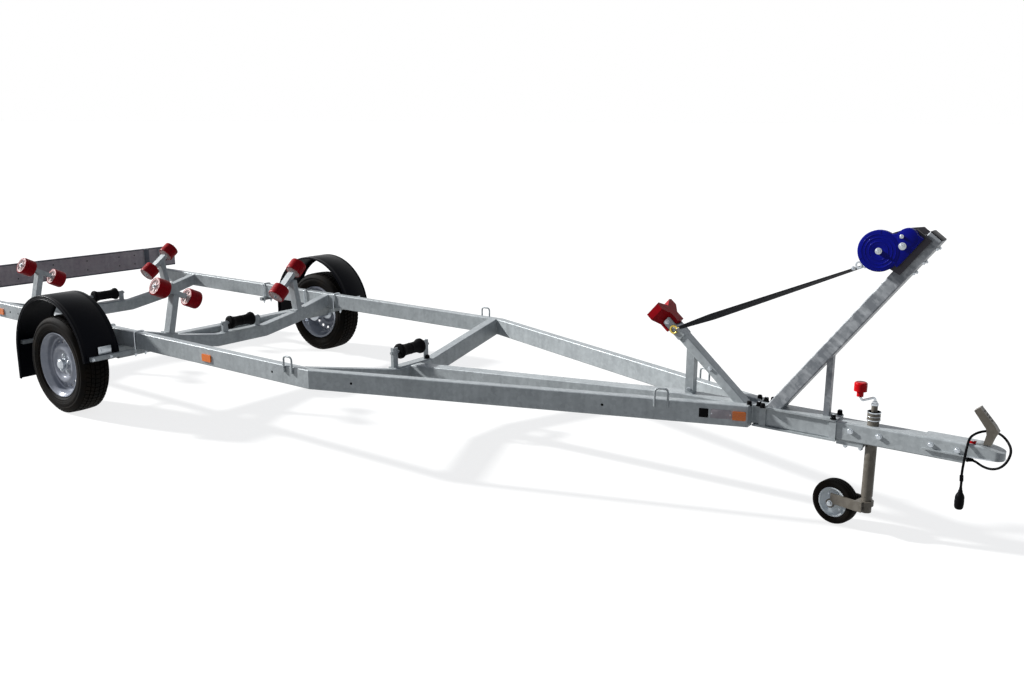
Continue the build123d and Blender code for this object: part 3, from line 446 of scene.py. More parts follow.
def electro_zinc(name="electro_zinc", pale="#C9CED2", dark="#9AA1A8"):
    """Small steel parts plated in a bath: smoother and brighter than dipping, with faint
    rubbing marks a few millimetres long."""
    material, tree, shader, place = blank(name, pale, 0.3, 0.9)
    rubs = noise(tree, place, 130.0, 4.0)
    tint(tree, shader, rubs, pale, dark)
    vary_roughness(tree, shader, rubs, 0.22, 0.42)
    return material


def yellow_zinc():
    """Zinc plate with a yellow chromate film, which shifts from straw to green."""
    material, tree, shader, place = blank("yellow_chromate", "#D9B652", 0.28, 0.9)
    tint(tree, shader, noise(tree, place, 90.0, 3.0), "#E6C765", "#B7A34E")
    return material


def moulded_black(name, colour, roughness, grain, depth):
    """Black plastic or rubber from a mould, with the mould's fine grain."""
    material, tree, shader, place = blank(name, colour, roughness, 0.0, Specular_IOR_Level=0.04)
    broad = noise(tree, place, 9.0, 4.0)
    vary_roughness(tree, shader, broad, roughness - 0.07, roughness + 0.09)
    relief(tree, shader, noise(tree, place, grain, 2.0), 0.35, depth)
    return material


def tread_rubber():
    """Tyre rubber: carbon black, dull, greyed by dust where it isn't rubbed."""
    material, tree, shader, place = blank(
        "tread_rubber", "#0C0B0A", 0.7, Specular_IOR_Level=0.05
    )
    dust = add_node(
        tree, "ShaderNodeMapRange",
        {"Value": noise(tree, place, 14.0, 6.0), "From Min": 0.42, "From Max": 0.75},
    )
    tint(tree, shader, dust.outputs[0], "#090807", "#18130E")
    relief(tree, shader, noise(tree, place, 420.0, 2.0), 0.25, 0.0005)
    return material


def cast_polyurethane(name, colour, shade, roughness=0.42):
    """Poured polyurethane: even colour right through, a soft sheen and shallow ripples."""
    material, tree, shader, place = blank(name, colour, roughness, 0.0, Specular_IOR_Level=0.08)
    ripples = noise(tree, place, 30.0, 3.0)
    tint(tree, shader, ripples, colour, shade)
    relief(tree, shader, ripples, 0.2, 0.0004)
    return material


def powder_coat(name, colour, shade, roughness, metallic=0.0):
    """Powder paint baked on steel: a hard gloss with orange peel about 2 mm across."""
    material, tree, shader, place = blank(
        name, colour, roughness, metallic, Specular_IOR_Level=0.1
    )
    tint(tree, shader, noise(tree, place, 22.0, 4.0), colour, shade)
    relief(tree, shader, noise(tree, place, 420.0, 1.0), 0.18, 0.0003)
    return material


def moulded_lens(name, colour, shade):
    """Coloured acrylic with prisms about 3 mm wide moulded into its back."""
    material, tree, shader, place = blank(name, colour, 0.16, 0.0, Specular_IOR_Level=0.4)
    prisms = add_node(
        tree, "ShaderNodeTexVoronoi", {"Vector": place, "Scale": 300.0},
        feature="F1", distance="MANHATTAN",
    )
    near = add_node(
        tree, "ShaderNodeMapRange", {"Value": prisms.outputs["Distance"], "From Max": 0.9}
    )
    tint(tree, shader, near.outputs[0], colour, shade)
    return material


def woven_strap():
    """Black polyester webbing, woven in ribs 2 mm apart along the strap."""
    material, tree, shader, _ = blank("woven_strap", "#131418", 0.8, Specular_IOR_Level=0.25)
    along = add_node(tree, "ShaderNodeUVMap", uv_map="weave")
    threads = [
        add_node(
            tree, "ShaderNodeTexWave",
            {"Vector": along.outputs[0], "Scale": scale, "Distortion": distortion},
            wave_type="BANDS", bands_direction=way,
        ).outputs["Fac"]
        for way, scale, distortion in (("X", 0.5, 0.6), ("Y", 0.35, 0.4))
    ]
    weave = add_node(
        tree, "ShaderNodeMath", {0: threads[0], 1: threads[1]}, operation="MULTIPLY"
    ).outputs[0]
    tint(tree, shader, weave, "#0C0D10", "#2A2B33")
    relief(tree, shader, weave, 0.6, 0.0006)
    return material


def seen_directly(tree):
    """1 where the camera, a reflection or a clear piece looks at a surface."""
    path = add_node(tree, "ShaderNodeLightPath")
    seen = path.outputs["Is Camera Ray"]
    for ray in ("Is Glossy Ray", "Is Transmission Ray"):
        seen = add_node(
            tree, "ShaderNodeMath", {0: seen, 1: path.outputs[ray]}, operation="MAXIMUM"
        ).outputs[0]
    return seen


def pale_floor():
    """A matt studio floor that looks white, and still takes the trailer's shadow."""
    material, tree, shader, _ = blank("studio_floor", "#8A8A88", 0.9, Specular_IOR_Level=0.1)
    lift = add_node(
        tree, "ShaderNodeMath", {0: seen_directly(tree), 1: FLOOR_LIFT}, operation="MULTIPLY"
    )
    glow = add_node(tree, "ShaderNodeEmission", {"Color": WHITE, "Strength": lift.outputs[0]})
    both = add_node(tree, "ShaderNodeAddShader", {0: shader.outputs[0], 1: glow.outputs[0]})
    tree.links.new(both.outputs[0], tree.nodes["Material Output"].inputs["Surface"])
    return material


FINISHES = {}


def make_finishes():
    """Every finish, by the record's material slot where it has one."""
    FINISHES.update(
        galvanised=hot_dip_zinc(),
        zinc_plate=electro_zinc(),
        yellow_zinc=yellow_zinc(),
        black_plastic=moulded_black("moulded_polypropylene", "#06080E", 0.36, 700.0, 0.0003),
        black_rubber=moulded_black("moulded_rubber", "#08080A", 0.6, 500.0, 0.0004),
        cable_plastic=moulded_black("cable_sheath", "#0A0A0C", 0.45, 300.0, 0.0002),
        board_zinc=hot_dip_zinc("dull_board_zinc", "#A8A2A5", "#767178"),
        # dark bluish zinc: painted shade on the light board's folded edges and on a plate over
        # its bracket
        shaded_zinc=hot_dip_zinc("painted_shade_board_zinc", "#565A62", "#363A44"),
        # the jockey leg, its fork and the coupling handle: zinc painted darker and warmer, as
        # painted shade
        pressed_zinc=hot_dip_zinc("painted_shade_handle_and_leg_zinc", "#77726A", "#48433A"),
        drained_zinc=hot_dip_zinc("drained_zinc", "#DFE2E3", "#767A7E", POST_ANGLE, 1.1),
        tyre_rubber=tread_rubber(),
        red_rubber=cast_polyurethane("red_polyurethane", "#A60515", "#74020C"),
        hub_white=cast_polyurethane("white_hub_nylon", "#EBDDD8", "#D8BFBC", 0.5),
        red_plastic=cast_polyurethane("red_knob_nylon", "#CC0A16", "#A6060F", 0.32),
        winch_blue=powder_coat("blue_powder_coat", "#020C86", "#020868", 0.36),
        winch_grey=powder_coat("graphite_coat", "#4B484C", "#39373B", 0.5, 0.3),
        wheel_silver=powder_coat("silver_wheel_paint", "#A2A5AD", "#7F848F", 0.2, 0.16),
        jockey_rim_grey=powder_coat("pale_rim_paint", "#F4F8F8", "#E0E8EA", 0.36),
        webbing=woven_strap(),
        amber_plastic=moulded_lens("amber_lens", "#FF9008", "#E56A00"),
        lamp_red=moulded_lens("red_lens", "#B30D12", "#7E070A"),
        plate_white=powder_coat("plain_white_plate", "#E2E2DD", "#D4D4CE", 0.4),
        floor=pale_floor(),
    )


class TrailerSizes(bpy.types.PropertyGroup):
    """The sizes that a user may change."""

    tread_depth: bpy.props.FloatProperty(
        name="Tread depth", description="Depth of the road tyres' grooves",
        default=0.007, min=0.002, max=0.009, unit="LENGTH",
    )
    tread_steps: bpy.props.IntProperty(
        name="Tread pitches", description="Number of tread blocks round a road tyre",
        default=66, min=24, max=120,
    )
    roller_ribs: bpy.props.IntProperty(
        name="Roller ribs", description="Number of ribs round each side roller",
        default=5, min=2, max=9,
    )
    guard_edge: bpy.props.FloatProperty(
        name="Guard edge", description="Radius of the mudguards' rolled outer edge",
        default=0.006, min=0.004, max=0.008, unit="LENGTH",
    )


class StageLight(bpy.types.PropertyGroup):
    """The light on the trailer."""

    sky: bpy.props.FloatProperty(
        name="Sky", description="Strength of the even light from all round",
        default=0.22, min=0.0, max=2.0,
    )
    key: bpy.props.FloatProperty(
        name="Key", description="Strength of the sun lamp", default=6.2, min=0.0, max=8.0
    )


class TRAILER_OT_finish_frame(bpy.types.Operator):
    """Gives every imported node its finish"""

    bl_idname = "trailer.finish_frame"
    bl_label = "Finish the frame"

    def execute(self, context):
        make_finishes()
        slots = {row["node"]: row["material_slot"] for row in frame["record"]["subparts"]}
        # the winch post gets zinc with drained runs; the jockey leg, its fork and the coupling
        # handle get zinc darkened as painted shade
        own = {
            "winch_post": "drained_zinc", "coupling_handle": "pressed_zinc",
            "jockey_tube": "pressed_zinc", "jockey_inner_tube": "pressed_zinc",
            "jockey_fork": "pressed_zinc",
        }
        for name, node in NODES.items():
            node.data.materials.clear()
            node.data.materials.append(FINISHES[own.get(name, slots[name])])
        return {"FINISHED"}


class TRAILER_OT_add_cable(bpy.types.Operator):
    """The lighting cable, hung in a loop at the coupling, and its plug"""

    bl_idname = "trailer.add_cable"
    bl_label = "Lighting cable"

    route: tuple = (
        (4820.4, -22, 421), (4844, -22, 421), (4876, -39, 408), (4912, -54, 407),
        (4944, -60, 421), (4967, -58, 452), (4974, -34, 491), (4952, -6, 519), (4918, 27, 534),
        (4880, 38, 536), (4848, 32, 528), (4830, 8, 521), (4819, -30, 513), (4818, -60, 482),
        (4816, -69, 440), (4813, -69, 400), (4812, -69, 366), (4814, -68, 334),
        (4814, -68, 304),
    )

    def execute(self, context):
        points = [spot(*point) for point in self.route]
        cable = wire("lighting_cable", points, 5.0, resolution=10, sides=5)
        settle(cable, "cable_plastic", replaces=["cable"])
        end = points[-1]
        bm = bmesh.new()
        shell = [
            (0, 10), (5.4, 10), (6.2, 8), (6.4, 1), (8.4, -2), (9.2, -9), (11.5, -14),
            (15.5, -21), (17.4, -27), (18, -34), (18, -36), (17.2, -37), (17.2, -39), (18, -40),
            (18, -60), (17.4, -70), (15.6, -76), (12.5, -80), (0, -80),
        ]
        lathe(bm, shell, facing(end, (0, 0, 1), (1, 0, 0)), steps=40)
        for turn in range(0, 360, 30):
            out = Vector((cos(radians(turn)), sin(radians(turn)), 0))
            grip = end + out * 0.0178 - Vector((0, 0, 0.050))
            block(bm, (1.2, 3.0, 15), facing(grip, (0, 0, 1), out), 0.4)
        plug = finish_mesh(bm, "cable_plug", "cable_plastic", replaces=["plug"])
        # the tapered boot where the cable leaves the drawbar, and a blank marker on the cable
        bm = bmesh.new()
        leaving = (points[1] - points[0]).normalized()
        boot = [
            (5.2, -4), (12, -4), (12, 0), (10.4, 1.5), (9.4, 3), (9.6, 5), (8.6, 6.5),
            (8.9, 8.5), (7.8, 10), (8.0, 12), (6.9, 13.5), (7.0, 16), (5.9, 20), (5.2, 20),
        ]
        lathe(bm, boot, facing(points[0], leaving), steps=28, closed=True)
        tag = points[-2] + (points[-3] - points[-2]) * 0.6
        sleeve = mirrored([(5.1, 12), (7.2, 12), (7.4, 11)])
        lathe(bm, sleeve, facing(tag, points[-3] - points[-2]), steps=24, closed=True)
        finish_mesh(bm, "cable_boot", "black_rubber")
        return {"FINISHED"}


class TRAILER_OT_add_tyres(bpy.types.Operator):
    """Two road tyres with cut tread blocks, rim protectors and moulded sidewall rings"""

    bl_idname = "trailer.add_tyres"
    bl_label = "Road tyres"

    def execute(self, context):
        sizes = context.scene.trailer_sizes
        turn = 2 * pi / sizes.tread_steps
        base = WHEEL_Z - sizes.tread_depth * 1000
        side = [
            (191, 63), (191, 70.2), (198.8, 70.6), (203, 76), (209, 82), (212, 85.5), (217, 86),
            (222, 87), (224, 88.6), (234, 89.6), (236, 91), (247, 91), (249, 89.8), (260, 89.2),
            (262, 90.2), (268, 88.8), (275, 84.5), (281, 79), (base - 2, 72),
        ]
        ribs = ((-69, -46), (-40, -19), (-13, 13), (19, 40), (46, 69))
        crown = [(base - 0.00056 * h * h, h) for rib in ribs for h in rib]
        section = [(r, -h) for r, h in side] + crown + [(r, h) for r, h in reversed(side)]
        for name, sign in SIDES.items():
            bm = bmesh.new()
            spin(bm, chain(bm, section, closed=True), turn * BLOCK_SHARE, 2)
            blocks = []
            for face in bm.faces:
                middle = face.calc_center_median()
                height = middle.z * 1000
                if middle.xy.length * 1000 > base - 10 and any(
                    low < height < high for low, high in ribs
                ):
                    blocks.append(face)
            rim = [
                edge for edge in bm.edges
                if all(
                    abs(atan2(vert.co.y, vert.co.x) - turn * BLOCK_SHARE) < 1e-4
                    for vert in edge.verts
                )
            ]
            grown = bmesh.ops.extrude_face_region(bm, geom=blocks)
            for item in grown["geom"]:
                if isinstance(item, bmesh.types.BMVert):
                    lift = 1 + sizes.tread_depth / item.co.xy.length
                    item.co = Vector((item.co.x * lift, item.co.y * lift, item.co.z))
            bmesh.ops.delete(bm, geom=blocks, context="FACES_ONLY")
            ends = list({vert for edge in rim for vert in edge.verts})
            spin(bm, ends + rim, turn * (1 - BLOCK_SHARE), 1)
            # the grooves between blocks sweep back towards the shoulders
            for vert in bm.verts:
                if vert.co.xy.length * 1000 > base - 6:
                    sweep = turn * 0.9 * abs(vert.co.z) / TREAD_EDGE
                    vert.co = Matrix.Rotation(sweep, 3, "Z") @ vert.co
            one = bm.verts[:] + bm.edges[:] + bm.faces[:]
            spin(bm, one, 2 * pi - turn, sizes.tread_steps - 1, copies=True)
            bmesh.ops.remove_doubles(bm, verts=bm.verts, dist=2e-5)
            place = facing(spot(0, sign * TRACK_HALF, WHEEL_Z), (0, sign, 0), (1, 0, 0))
            bmesh.ops.transform(bm, matrix=place, verts=bm.verts)
            finish_mesh(
                bm, f"road_tyre_{name}", "tyre_rubber", f"wheel_{name}", [f"tyre_{name}"],
                smooth=30.0,
            )
        return {"FINISHED"}


class TRAILER_OT_add_wheel_fittings(bpy.types.Operator):
    """The pressed rims with their holes, the wheel bolts, grease caps and valves"""

    bl_idname = "trailer.add_wheel_fittings"
    bl_label = "Rims, bolts and caps"

    def execute(self, context):
        for name, sign in SIDES.items():
            out = Vector((0, sign, 0))
            middle = spot(0, sign * TRACK_HALF, WHEEL_Z)
            bm = bmesh.new()
            for number in range(5):
                turn = radians(90 + 72 * number)
                foot = middle + Vector((cos(turn), 0, sin(turn))) * BOLT_CIRCLE + out * 0.036
                bolt(bm, foot, out, 17.0, stud=3.0, washer=False)
                lathe(bm, [(10.5, 0), (14, 0), (13.2, 2.6), (10.5, 3.2)], facing(foot, out), 20)
            cap = [
                (30.2, 34), (30.2, 58), (29.4, 60), (28.4, 61), (26.6, 68), (23.5, 71.5),
                (18, 73.2), (0, 73.6),
            ]
            ring = [(32.5, 36), (32.5, 39), (31, 40.2), (30.1, 40.2)]
            place = facing(middle, out, (1, 0, 0))
            lathe(bm, cap, place, 40)
            lathe(bm, ring, place, 40)
            finish_mesh(bm, f"wheel_bolts_{name}", "zinc_plate", f"wheel_{name}")
            bm = bmesh.new()
            turn = radians(36)
            foot = middle + Vector((cos(turn), 0, sin(turn))) * VALVE_CIRCLE + out * 0.026
            stem = [
                (4.2, -4), (4.8, 2), (3.8, 6), (3.2, 20), (4.0, 20.5), (4.0, 30), (3.2, 31),
                (0, 31),
            ]
            lean = Vector((-0.3 * cos(turn), 0, -0.3 * sin(turn)))
            lathe(bm, stem, facing(foot, out + lean), 16)
            finish_mesh(bm, f"valve_{name}", "black_rubber", f"wheel_{name}")
            # the pressed rim: rolled edge, deep barrel, holed dish and raised crest
            bm = bmesh.new()
            shown = [
                (190.5, 70.4), (196, 70.9), (197.9, 72.4), (198, 75.4), (196.8, 77.6),
                (194, 78), (191, 77), (188, 73.5), (184.6, 68.6), (180.5, 66), (176, 61),
                (171, 52), (168.2, 44), (166.6, 36), (163, 28.6), (157, 24.6), (150, 25),
                (141, 29.4), (131, 35), (122, 41), (114, 46), (107, 48.6), (99, 49.6),
                (91, 48.8), (85, 46), (80, 41.2), (75.6, 37.6), (70, 36.2), (44, 36),
                (33, 36.2), (30.3, 36),
            ]
            hidden = [
                (30.3, 29.5), (72, 29.5), (82, 35), (92, 42.4), (100, 43.6), (108, 42.4),
                (118, 37), (131, 29.2), (141, 23.8), (149, 19.6), (153, 12), (154, 2),
                (162, -32), (174, -62), (184, -76), (198, -78), (198, -71), (190.5, -70.4),
                (186, -62), (180, -60), (168, -30), (161, 8), (172, 38), (180, 60), (186, 62),
            ]
            lathe(bm, shown + hidden, place, 96, closed=True)
            rim = finish_mesh(
                bm, f"pressed_rim_{name}", "wheel_silver", f"wheel_{name}", [f"rim_{name}"],
                smooth=28.0,
            )
            cut = bmesh.new()
            for number in range(RIM_HOLES):
                spoke = place @ Matrix.Rotation(2 * pi * number / RIM_HOLES, 4, "Z")
                oval = spoke @ shift(x=136, z=30) @ Matrix.Diagonal((0.7, 1, 1, 1))
                bmesh.ops.create_cone(
                    cut, cap_ends=True, segments=20, radius1=HAND_HOLE, radius2=HAND_HOLE,
                    depth=0.05, matrix=oval,
                )
            pierce(rim, cut)
        return {"FINISHED"}


class TRAILER_OT_add_side_rollers(bpy.types.Operator):
    """Ribbed red side rollers with white hubs, in pairs on tilted shafts"""

    bl_idname = "trailer.add_side_rollers"
    bl_label = "Side rollers"

    # the shaft's middle X, distance from the middle and Z, its turn in plan and its slope
    stations: tuple = (
        ("rear", "right", -1278.0, 480.0, 657.0, 1.3, 26.8),
        ("rear", "left", -1278.0, 480.0, 632.0, 1.3, 36.1),
        ("front", "right", 268.0, 452.0, 668.0, 3.8, 24.2),
        ("front", "left", 268.0, 452.0, 636.0, 3.8, 40.5),
    )
    spacing = 231.0

    def execute(self, context):
        ribs = context.scene.trailer_sizes.roller_ribs
        for station, name, x, y, z, turn, slope in self.stations:
            sign = SIDES[name]
            plan, fall = radians(turn), radians(slope)
            inboard = Vector((sin(plan) * cos(fall), -sign * cos(plan) * cos(fall), -sin(fall)))
            red, white, pins = bmesh.new(), bmesh.new(), bmesh.new()
            for offset in (-self.spacing / 2, self.spacing / 2):
                place = facing(spot(x, sign * y, z) + inboard * offset / 1000, inboard)
                lip = [(49.5, 37), (49.5, 41.6), (50.4, 42.4), (53, 42.5), (56, 40.8), (57.4, 37)]
                skin = [(r, -h) for r, h in lip]
                step = 70.0 / ribs
                for rib in range(ribs):
                    low = -35 + rib * step
                    skin += [(58, low + step * 0.12), (58, low + step * 0.8)]
                    if rib < ribs - 1:
                        skin += [(56.6, low + step * 0.87), (56.6, low + step * 1.05)]
                skin += reversed(lip)
                lathe(red, skin, place, 56, closed=True)
                half = [
                    (8.3, 41.4), (14, 41.4), (16, 40), (17, 35), (22, 34), (34, 34), (37, 36),
                    (39, 39.6), (43, 40.6), (47.5, 41.6), (49.4, 41.2),
                ]
                hub = mirrored([(r, -h) for r, h in half])
                lathe(white, hub, place, 48, closed=True)
                for end in (-1, 1):
                    face = place @ shift(z=end * 34.5)
                    for spoke in range(6):
                        out = face @ Matrix.Rotation(radians(60 * spoke), 4, "Z")
                        block(white, (20, 3.0, 7), out @ shift(x=27, z=end), 0.7)
                    ring = band(41.2, 43.4, end * 39.0, end * 41.6)
                    lathe(red, ring, place, 48, closed=True)
                    tip = (place @ shift(z=end * 41.5)).translation
                    out = facing(tip, inboard * end)
                    lathe(pins, band(8.3, 13, 0, 0.9), out, 24, closed=True)
            label = f"side_rollers_{station}_{name}"
            rides = f"side_roller_{station}_{name}"
            finish_mesh(red, label + "_red", "red_rubber", rides, [label], smooth=34.0)
            finish_mesh(
                white, label + "_hubs", "red_rubber", rides, smooth=34.0, finish="hub_white",
            )
            finish_mesh(pins, label + "_washers", "zinc_plate", rides)
        return {"FINISHED"}


class TRAILER_OT_add_keel_rollers(bpy.types.Operator):
    """Black keel rollers, waisted so that the keel runs along their middle"""

    bl_idname = "trailer.add_keel_rollers"
    bl_label = "Keel rollers"

    def execute(self, context):
        for name in ("rear", "mid", "front"):
            low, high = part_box(f"keel_roller_{name}")
            middle = (low + high) / 2
            half = (high.y - low.y) * 500
            end = (high.z - low.z) * 500
            bm = bmesh.new()
            side = [
                (8.2, half), (24, half), (end - 8, half - 0.5), (end - 6, half - 1.6),
                (end - 2, half - 3.6), (end, half - 7), (end, half - 16), (end - 1, half - 19),
                (end - 5, half - 26), (end - 8.6, half - 36), (end - 10.6, half - 48),
                (end - 11.4, half - 62), (end - 11.5, 14), (end - 11.5, 4), (end - 10.5, 2.4),
                (end - 10.5, 1),
            ]
            lathe(bm, mirrored(side), facing(middle, (0, 1, 0), (1, 0, 0)), 56, closed=True)
            finish_mesh(
                bm, f"keel_roller_{name}_rubber", "black_rubber", f"keel_roller_{name}",
                [f"keel_roller_{name}"], smooth=34.0,
            )
        return {"FINISHED"}


class TRAILER_OT_add_mudguards(bpy.types.Operator):
    """Mudguards with a rolled outer edge and a straight flap behind"""

    bl_idname = "trailer.add_mudguards"
    bl_label = "Mudguards"

    def execute(self, context):
        edge = context.scene.trailer_sizes.guard_edge * 1000
        radius, middle_x, middle_z = 387.0, -25.0, 333.0
        for name, sign in SIDES.items():
            # the section across the guard: distance outboard of its inner edge, and inwards
            angles = [radians(18 * k) for k in range(6)]
            flat = GUARD_WIDE - edge
            roll = [(flat + edge * sin(a), edge - edge * cos(a)) for a in angles]
            outer = [
                (0, 12), (0, 3), (2, 0.6), (6, 0), (20, 0), (24, 1.2), (30, 1.2), (34, 0),
                (200, 0), (203, 1.4), (207, 1.4), (210, 0), (flat, 0), *roll[1:],
                (225, 9), (222.8, 10.6), (222.8, 14.4), (225, 16), (225, 19.5), (222.8, 21),
                (222.8, 23), (224.6, 24.6), (222.5, 26),
            ]
            lining = [
                (y - GUARD_WALL * sin(a), n + GUARD_WALL * cos(a))
                for (y, n), a in reversed(list(zip(roll, angles)))
            ]
            inner = [
                (220.4, 26), (219.4, 24.5), (219, 22), (219.4, edge + GUARD_WALL), *lining,
                (34, 3.4), (30, 4.6), (24, 4.6), (20, 3.4), (5, 3.6), (3.6, 5), (3.4, 12),
            ]
            start = atan2(366 - middle_z, 385.6)
            bm = bmesh.new()
            points = []
            for y, n in outer + inner:
                r = (radius - n) / 1000
                points.append(bm.verts.new((r * cos(start), y * sign / 1000, r * sin(start))))
            lines = [bm.edges.new(pair) for pair in zip(points, points[1:] + points[:1])]
            bm.faces.new(points)
            swept = spin(bm, points + lines, pi - start, 60, axis=(0, -1, 0))
            rear = [item for item in swept if isinstance(item, bmesh.types.BMEdge)]
            drop = bmesh.ops.extrude_edge_only(bm, edges=rear)
            low, foot = swept_end(drop["geom"])
            for vert in low:
                vert.co.z = (FLAP_FOOT - middle_z) / 1000
            bmesh.ops.contextual_create(bm, geom=foot)
            bmesh.ops.translate(bm, verts=bm.verts, vec=spot(middle_x, sign * 925, middle_z))
            finish_mesh(
                bm, f"mudguard_{name}_moulding", "black_plastic", replaces=[f"mudguard_{name}"],
                smooth=40.0,
            )
        return {"FINISHED"}


class TRAILER_OT_add_winch(bpy.types.Operator):
    """The winch's pressed cover, its shafts' ends and the strap wound on its drum"""

    bl_idname = "trailer.add_winch"
    bl_label = "Winch"

    def execute(self, context):
        post = post_place()
        blue = bmesh.new()
        cover = post @ shift(*DRUM)
        face = shift(z=82.2)
        # the pressed disc with its raised rings
        disc = [(84, -24), (84, -3), (83, -1.2), (81, 0)]
        for rise in (70, 56, 40):
            disc += [(rise, 0.2), (rise - 1, 1.2), (rise - 4, 1.2), (rise - 5, 0.2)]
        disc += [(22, 0.2), (19, -1.2), (12, -1.6), (0, -1.6)]
        lathe(blue, disc, cover @ face, 72)
        lobe = post @ shift(965, 40) @ face
        lathe(blue, [(41, -24), (41, -3), (40, -1.2), (38, 0), (0, 0)], lobe, 48)
        web = [
            (869, 168), (902, 150), (926, 112), (948, 86), (975, 79), (1000, 62), (1002, -6),
            (853, -6),
        ]
        plate(blue, web, 21.4, post @ shift(z=60.2), 0.9)
        for turn in (35, 155, 275):
            arc = cover @ face @ Matrix.Rotation(radians(turn), 4, "Z")
            block(blue, (14, 7, 2.2), arc @ shift(x=76, z=-0.4), 0.8)
        finish_mesh(blue, "winch_cover", "winch_blue", replaces=["winch_case"], smooth=34.0)

        steel = bmesh.new()
        toward = Vector((0, -1, 0))
        for along, out, across, stud in ((*DRUM, 20, 7), (957, 62, 12, 4), (930, 34, 22, 7)):
            foot = post @ shift(along, out, 81.8)
            bolt(steel, foot.translation, toward, across, stud)
        # the drive shaft's stub and the nuts on the far side
        far = post @ shift(968, 36, -56)
        lathe(steel, [(9, 0), (9, 30), (7, 32), (7, 46), (5.5, 48), (0, 48)],
              facing(far.translation, (0, 1, 0)), 24)
        for along, out in (DRUM, (980, 20), (840, 20)):
            foot = post @ shift(along, out, -56.2)
            bolt(steel, foot.translation, (0, 1, 0), 15.0, 3.0)
        finish_mesh(steel, "winch_shafts", "zinc_plate")

        roll = bmesh.new()
        turns = mirrored([(20, 25), (36, 25.2), (38, 25.6), (40, 25), (40.8, 23)])
        centre = post @ shift(*DRUM)
        lathe(roll, turns, centre, 48, closed=True)
        for h in (-46, 44):
            lathe(roll, band(20, 58, h, h + 2), centre, 48, closed=True)
        finish_mesh(roll, "wound_strap", "webbing", finish="black_rubber")
        return {"FINISHED"}


class TRAILER_OT_add_strap(bpy.types.Operator):
    """The winch strap, twisted between the drum and its hook"""

    bl_idname = "trailer.add_strap"
    bl_label = "Strap and hook"

    def execute(self, context):
        post = post_place()
        hook = spot(3514.0, -43.0, 785.0)
        drum = (post @ shift(*DRUM)).translation
        fall = atan2(drum.z - 0.043 - hook.z, drum.x - hook.x)
        start = drum + Vector((sin(fall), 0, -cos(fall))) * WOUND
        end = hook + (start - hook).normalized() * 0.030
        run = end - start
        ahead = run.normalized()
        flat = Vector((0, 1, 0))
        bm = bmesh.new()
        weave = bm.loops.layers.uv.new("weave")
        corners = [bm.verts.new(start + flat * STRAP_HALF * k) for k in (-1, -0.5, 0, 0.5, 1)]
        lines = [bm.edges.new(pair) for pair in zip(corners, corners[1:])]
        steps = 80
        for step in range(steps):
            moved = bmesh.ops.extrude_edge_only(bm, edges=lines)
            fresh, lines = swept_end(moved["geom"])
            bmesh.ops.translate(bm, verts=fresh, vec=run / steps)
        for vert in bm.verts:
            gone = (vert.co - start).dot(ahead)
            share = gone / run.length
            line = start + ahead * gone
            across = (vert.co - line).dot(flat)
            twist = radians(8 + 40 * share)
            narrow = 1.0 - 0.6 * max(0.0, (share - 0.82) / 0.18)
            side = flat * cos(twist) + ahead.cross(flat) * sin(twist)
            vert.co = line + side * across * narrow
        for face in bm.faces:
            for loop in face.loops:
                gone = (loop.vert.co - start).dot(ahead)
                off = loop.vert.co - (start + ahead * gone)
                twist = radians(8 + 40 * gone / run.length)
                side = flat * cos(twist) + ahead.cross(flat) * sin(twist)
                loop[weave].uv = (gone * 1000, off.dot(side) * 1000)
        strap = finish_mesh(
            bm, "winch_strap_webbing", "webbing", replaces=["winch_strap"], smooth=60.0,
        )
        thick = strap.modifiers.new("thickness", "SOLIDIFY")
        thick.thickness = STRAP_THICK
        thick.offset = 0.0

        # the hook's shank, and its bend in metres from the hook's middle
        line = [hook + (end - hook) * share for share in (1.06, 0.8, 0.45)]
        line += [hook + Vector(step) for step in (
            (0.012, 0, 0.016), (-0.010, 0.001, 0.018), (-0.019, 0.002, 0),
            (-0.012, 0.003, -0.016), (0.006, 0.003, -0.018), (0.015, 0.003, -0.008),
        )]
        bent_wire("strap_hook_bent", line, 4.6, "yellow_zinc", replaces=["strap_hook"])
        small = bmesh.new()
        ring = facing(end, ahead.cross(flat), flat)
        outline = [(-17, -5), (17, -5), (17, 5), (-17, 5)]
        plate(small, outline, 5.0, ring @ shift(z=-2.5), 1.6)
        buckle = start + ahead * 0.112
        block(small, (50, 9, 22), facing(buckle, ahead, flat), 2.0)
        wheel = [(8, -3), (14, -3), (15.5, 0), (14, 3), (8, 3)]
        side = facing(buckle + Vector((0, -0.026, 0.012)), (0, -1, 0), ahead)
        lathe(small, wheel, side, 24, closed=True)
        bolt(small, start + ahead * 0.135 + Vector((0, -0.026, 0.006)), (0, -1, 0), 13.0, 4.0)
        bolt(small, start + ahead * 0.085 + Vector((0, -0.026, -0.004)), (0, -1, 0), 11.0, 3.0)
        eye = spot(3512, -34, 786)
        eyelet = [(5, -2), (11, -2), (12, 0), (11, 2), (5, 2)]
        lathe(small, eyelet, facing(eye, (0, -1, 0)), 24, closed=True)
        finish_mesh(small, "strap_buckle", "zinc_plate")
        return {"FINISHED"}


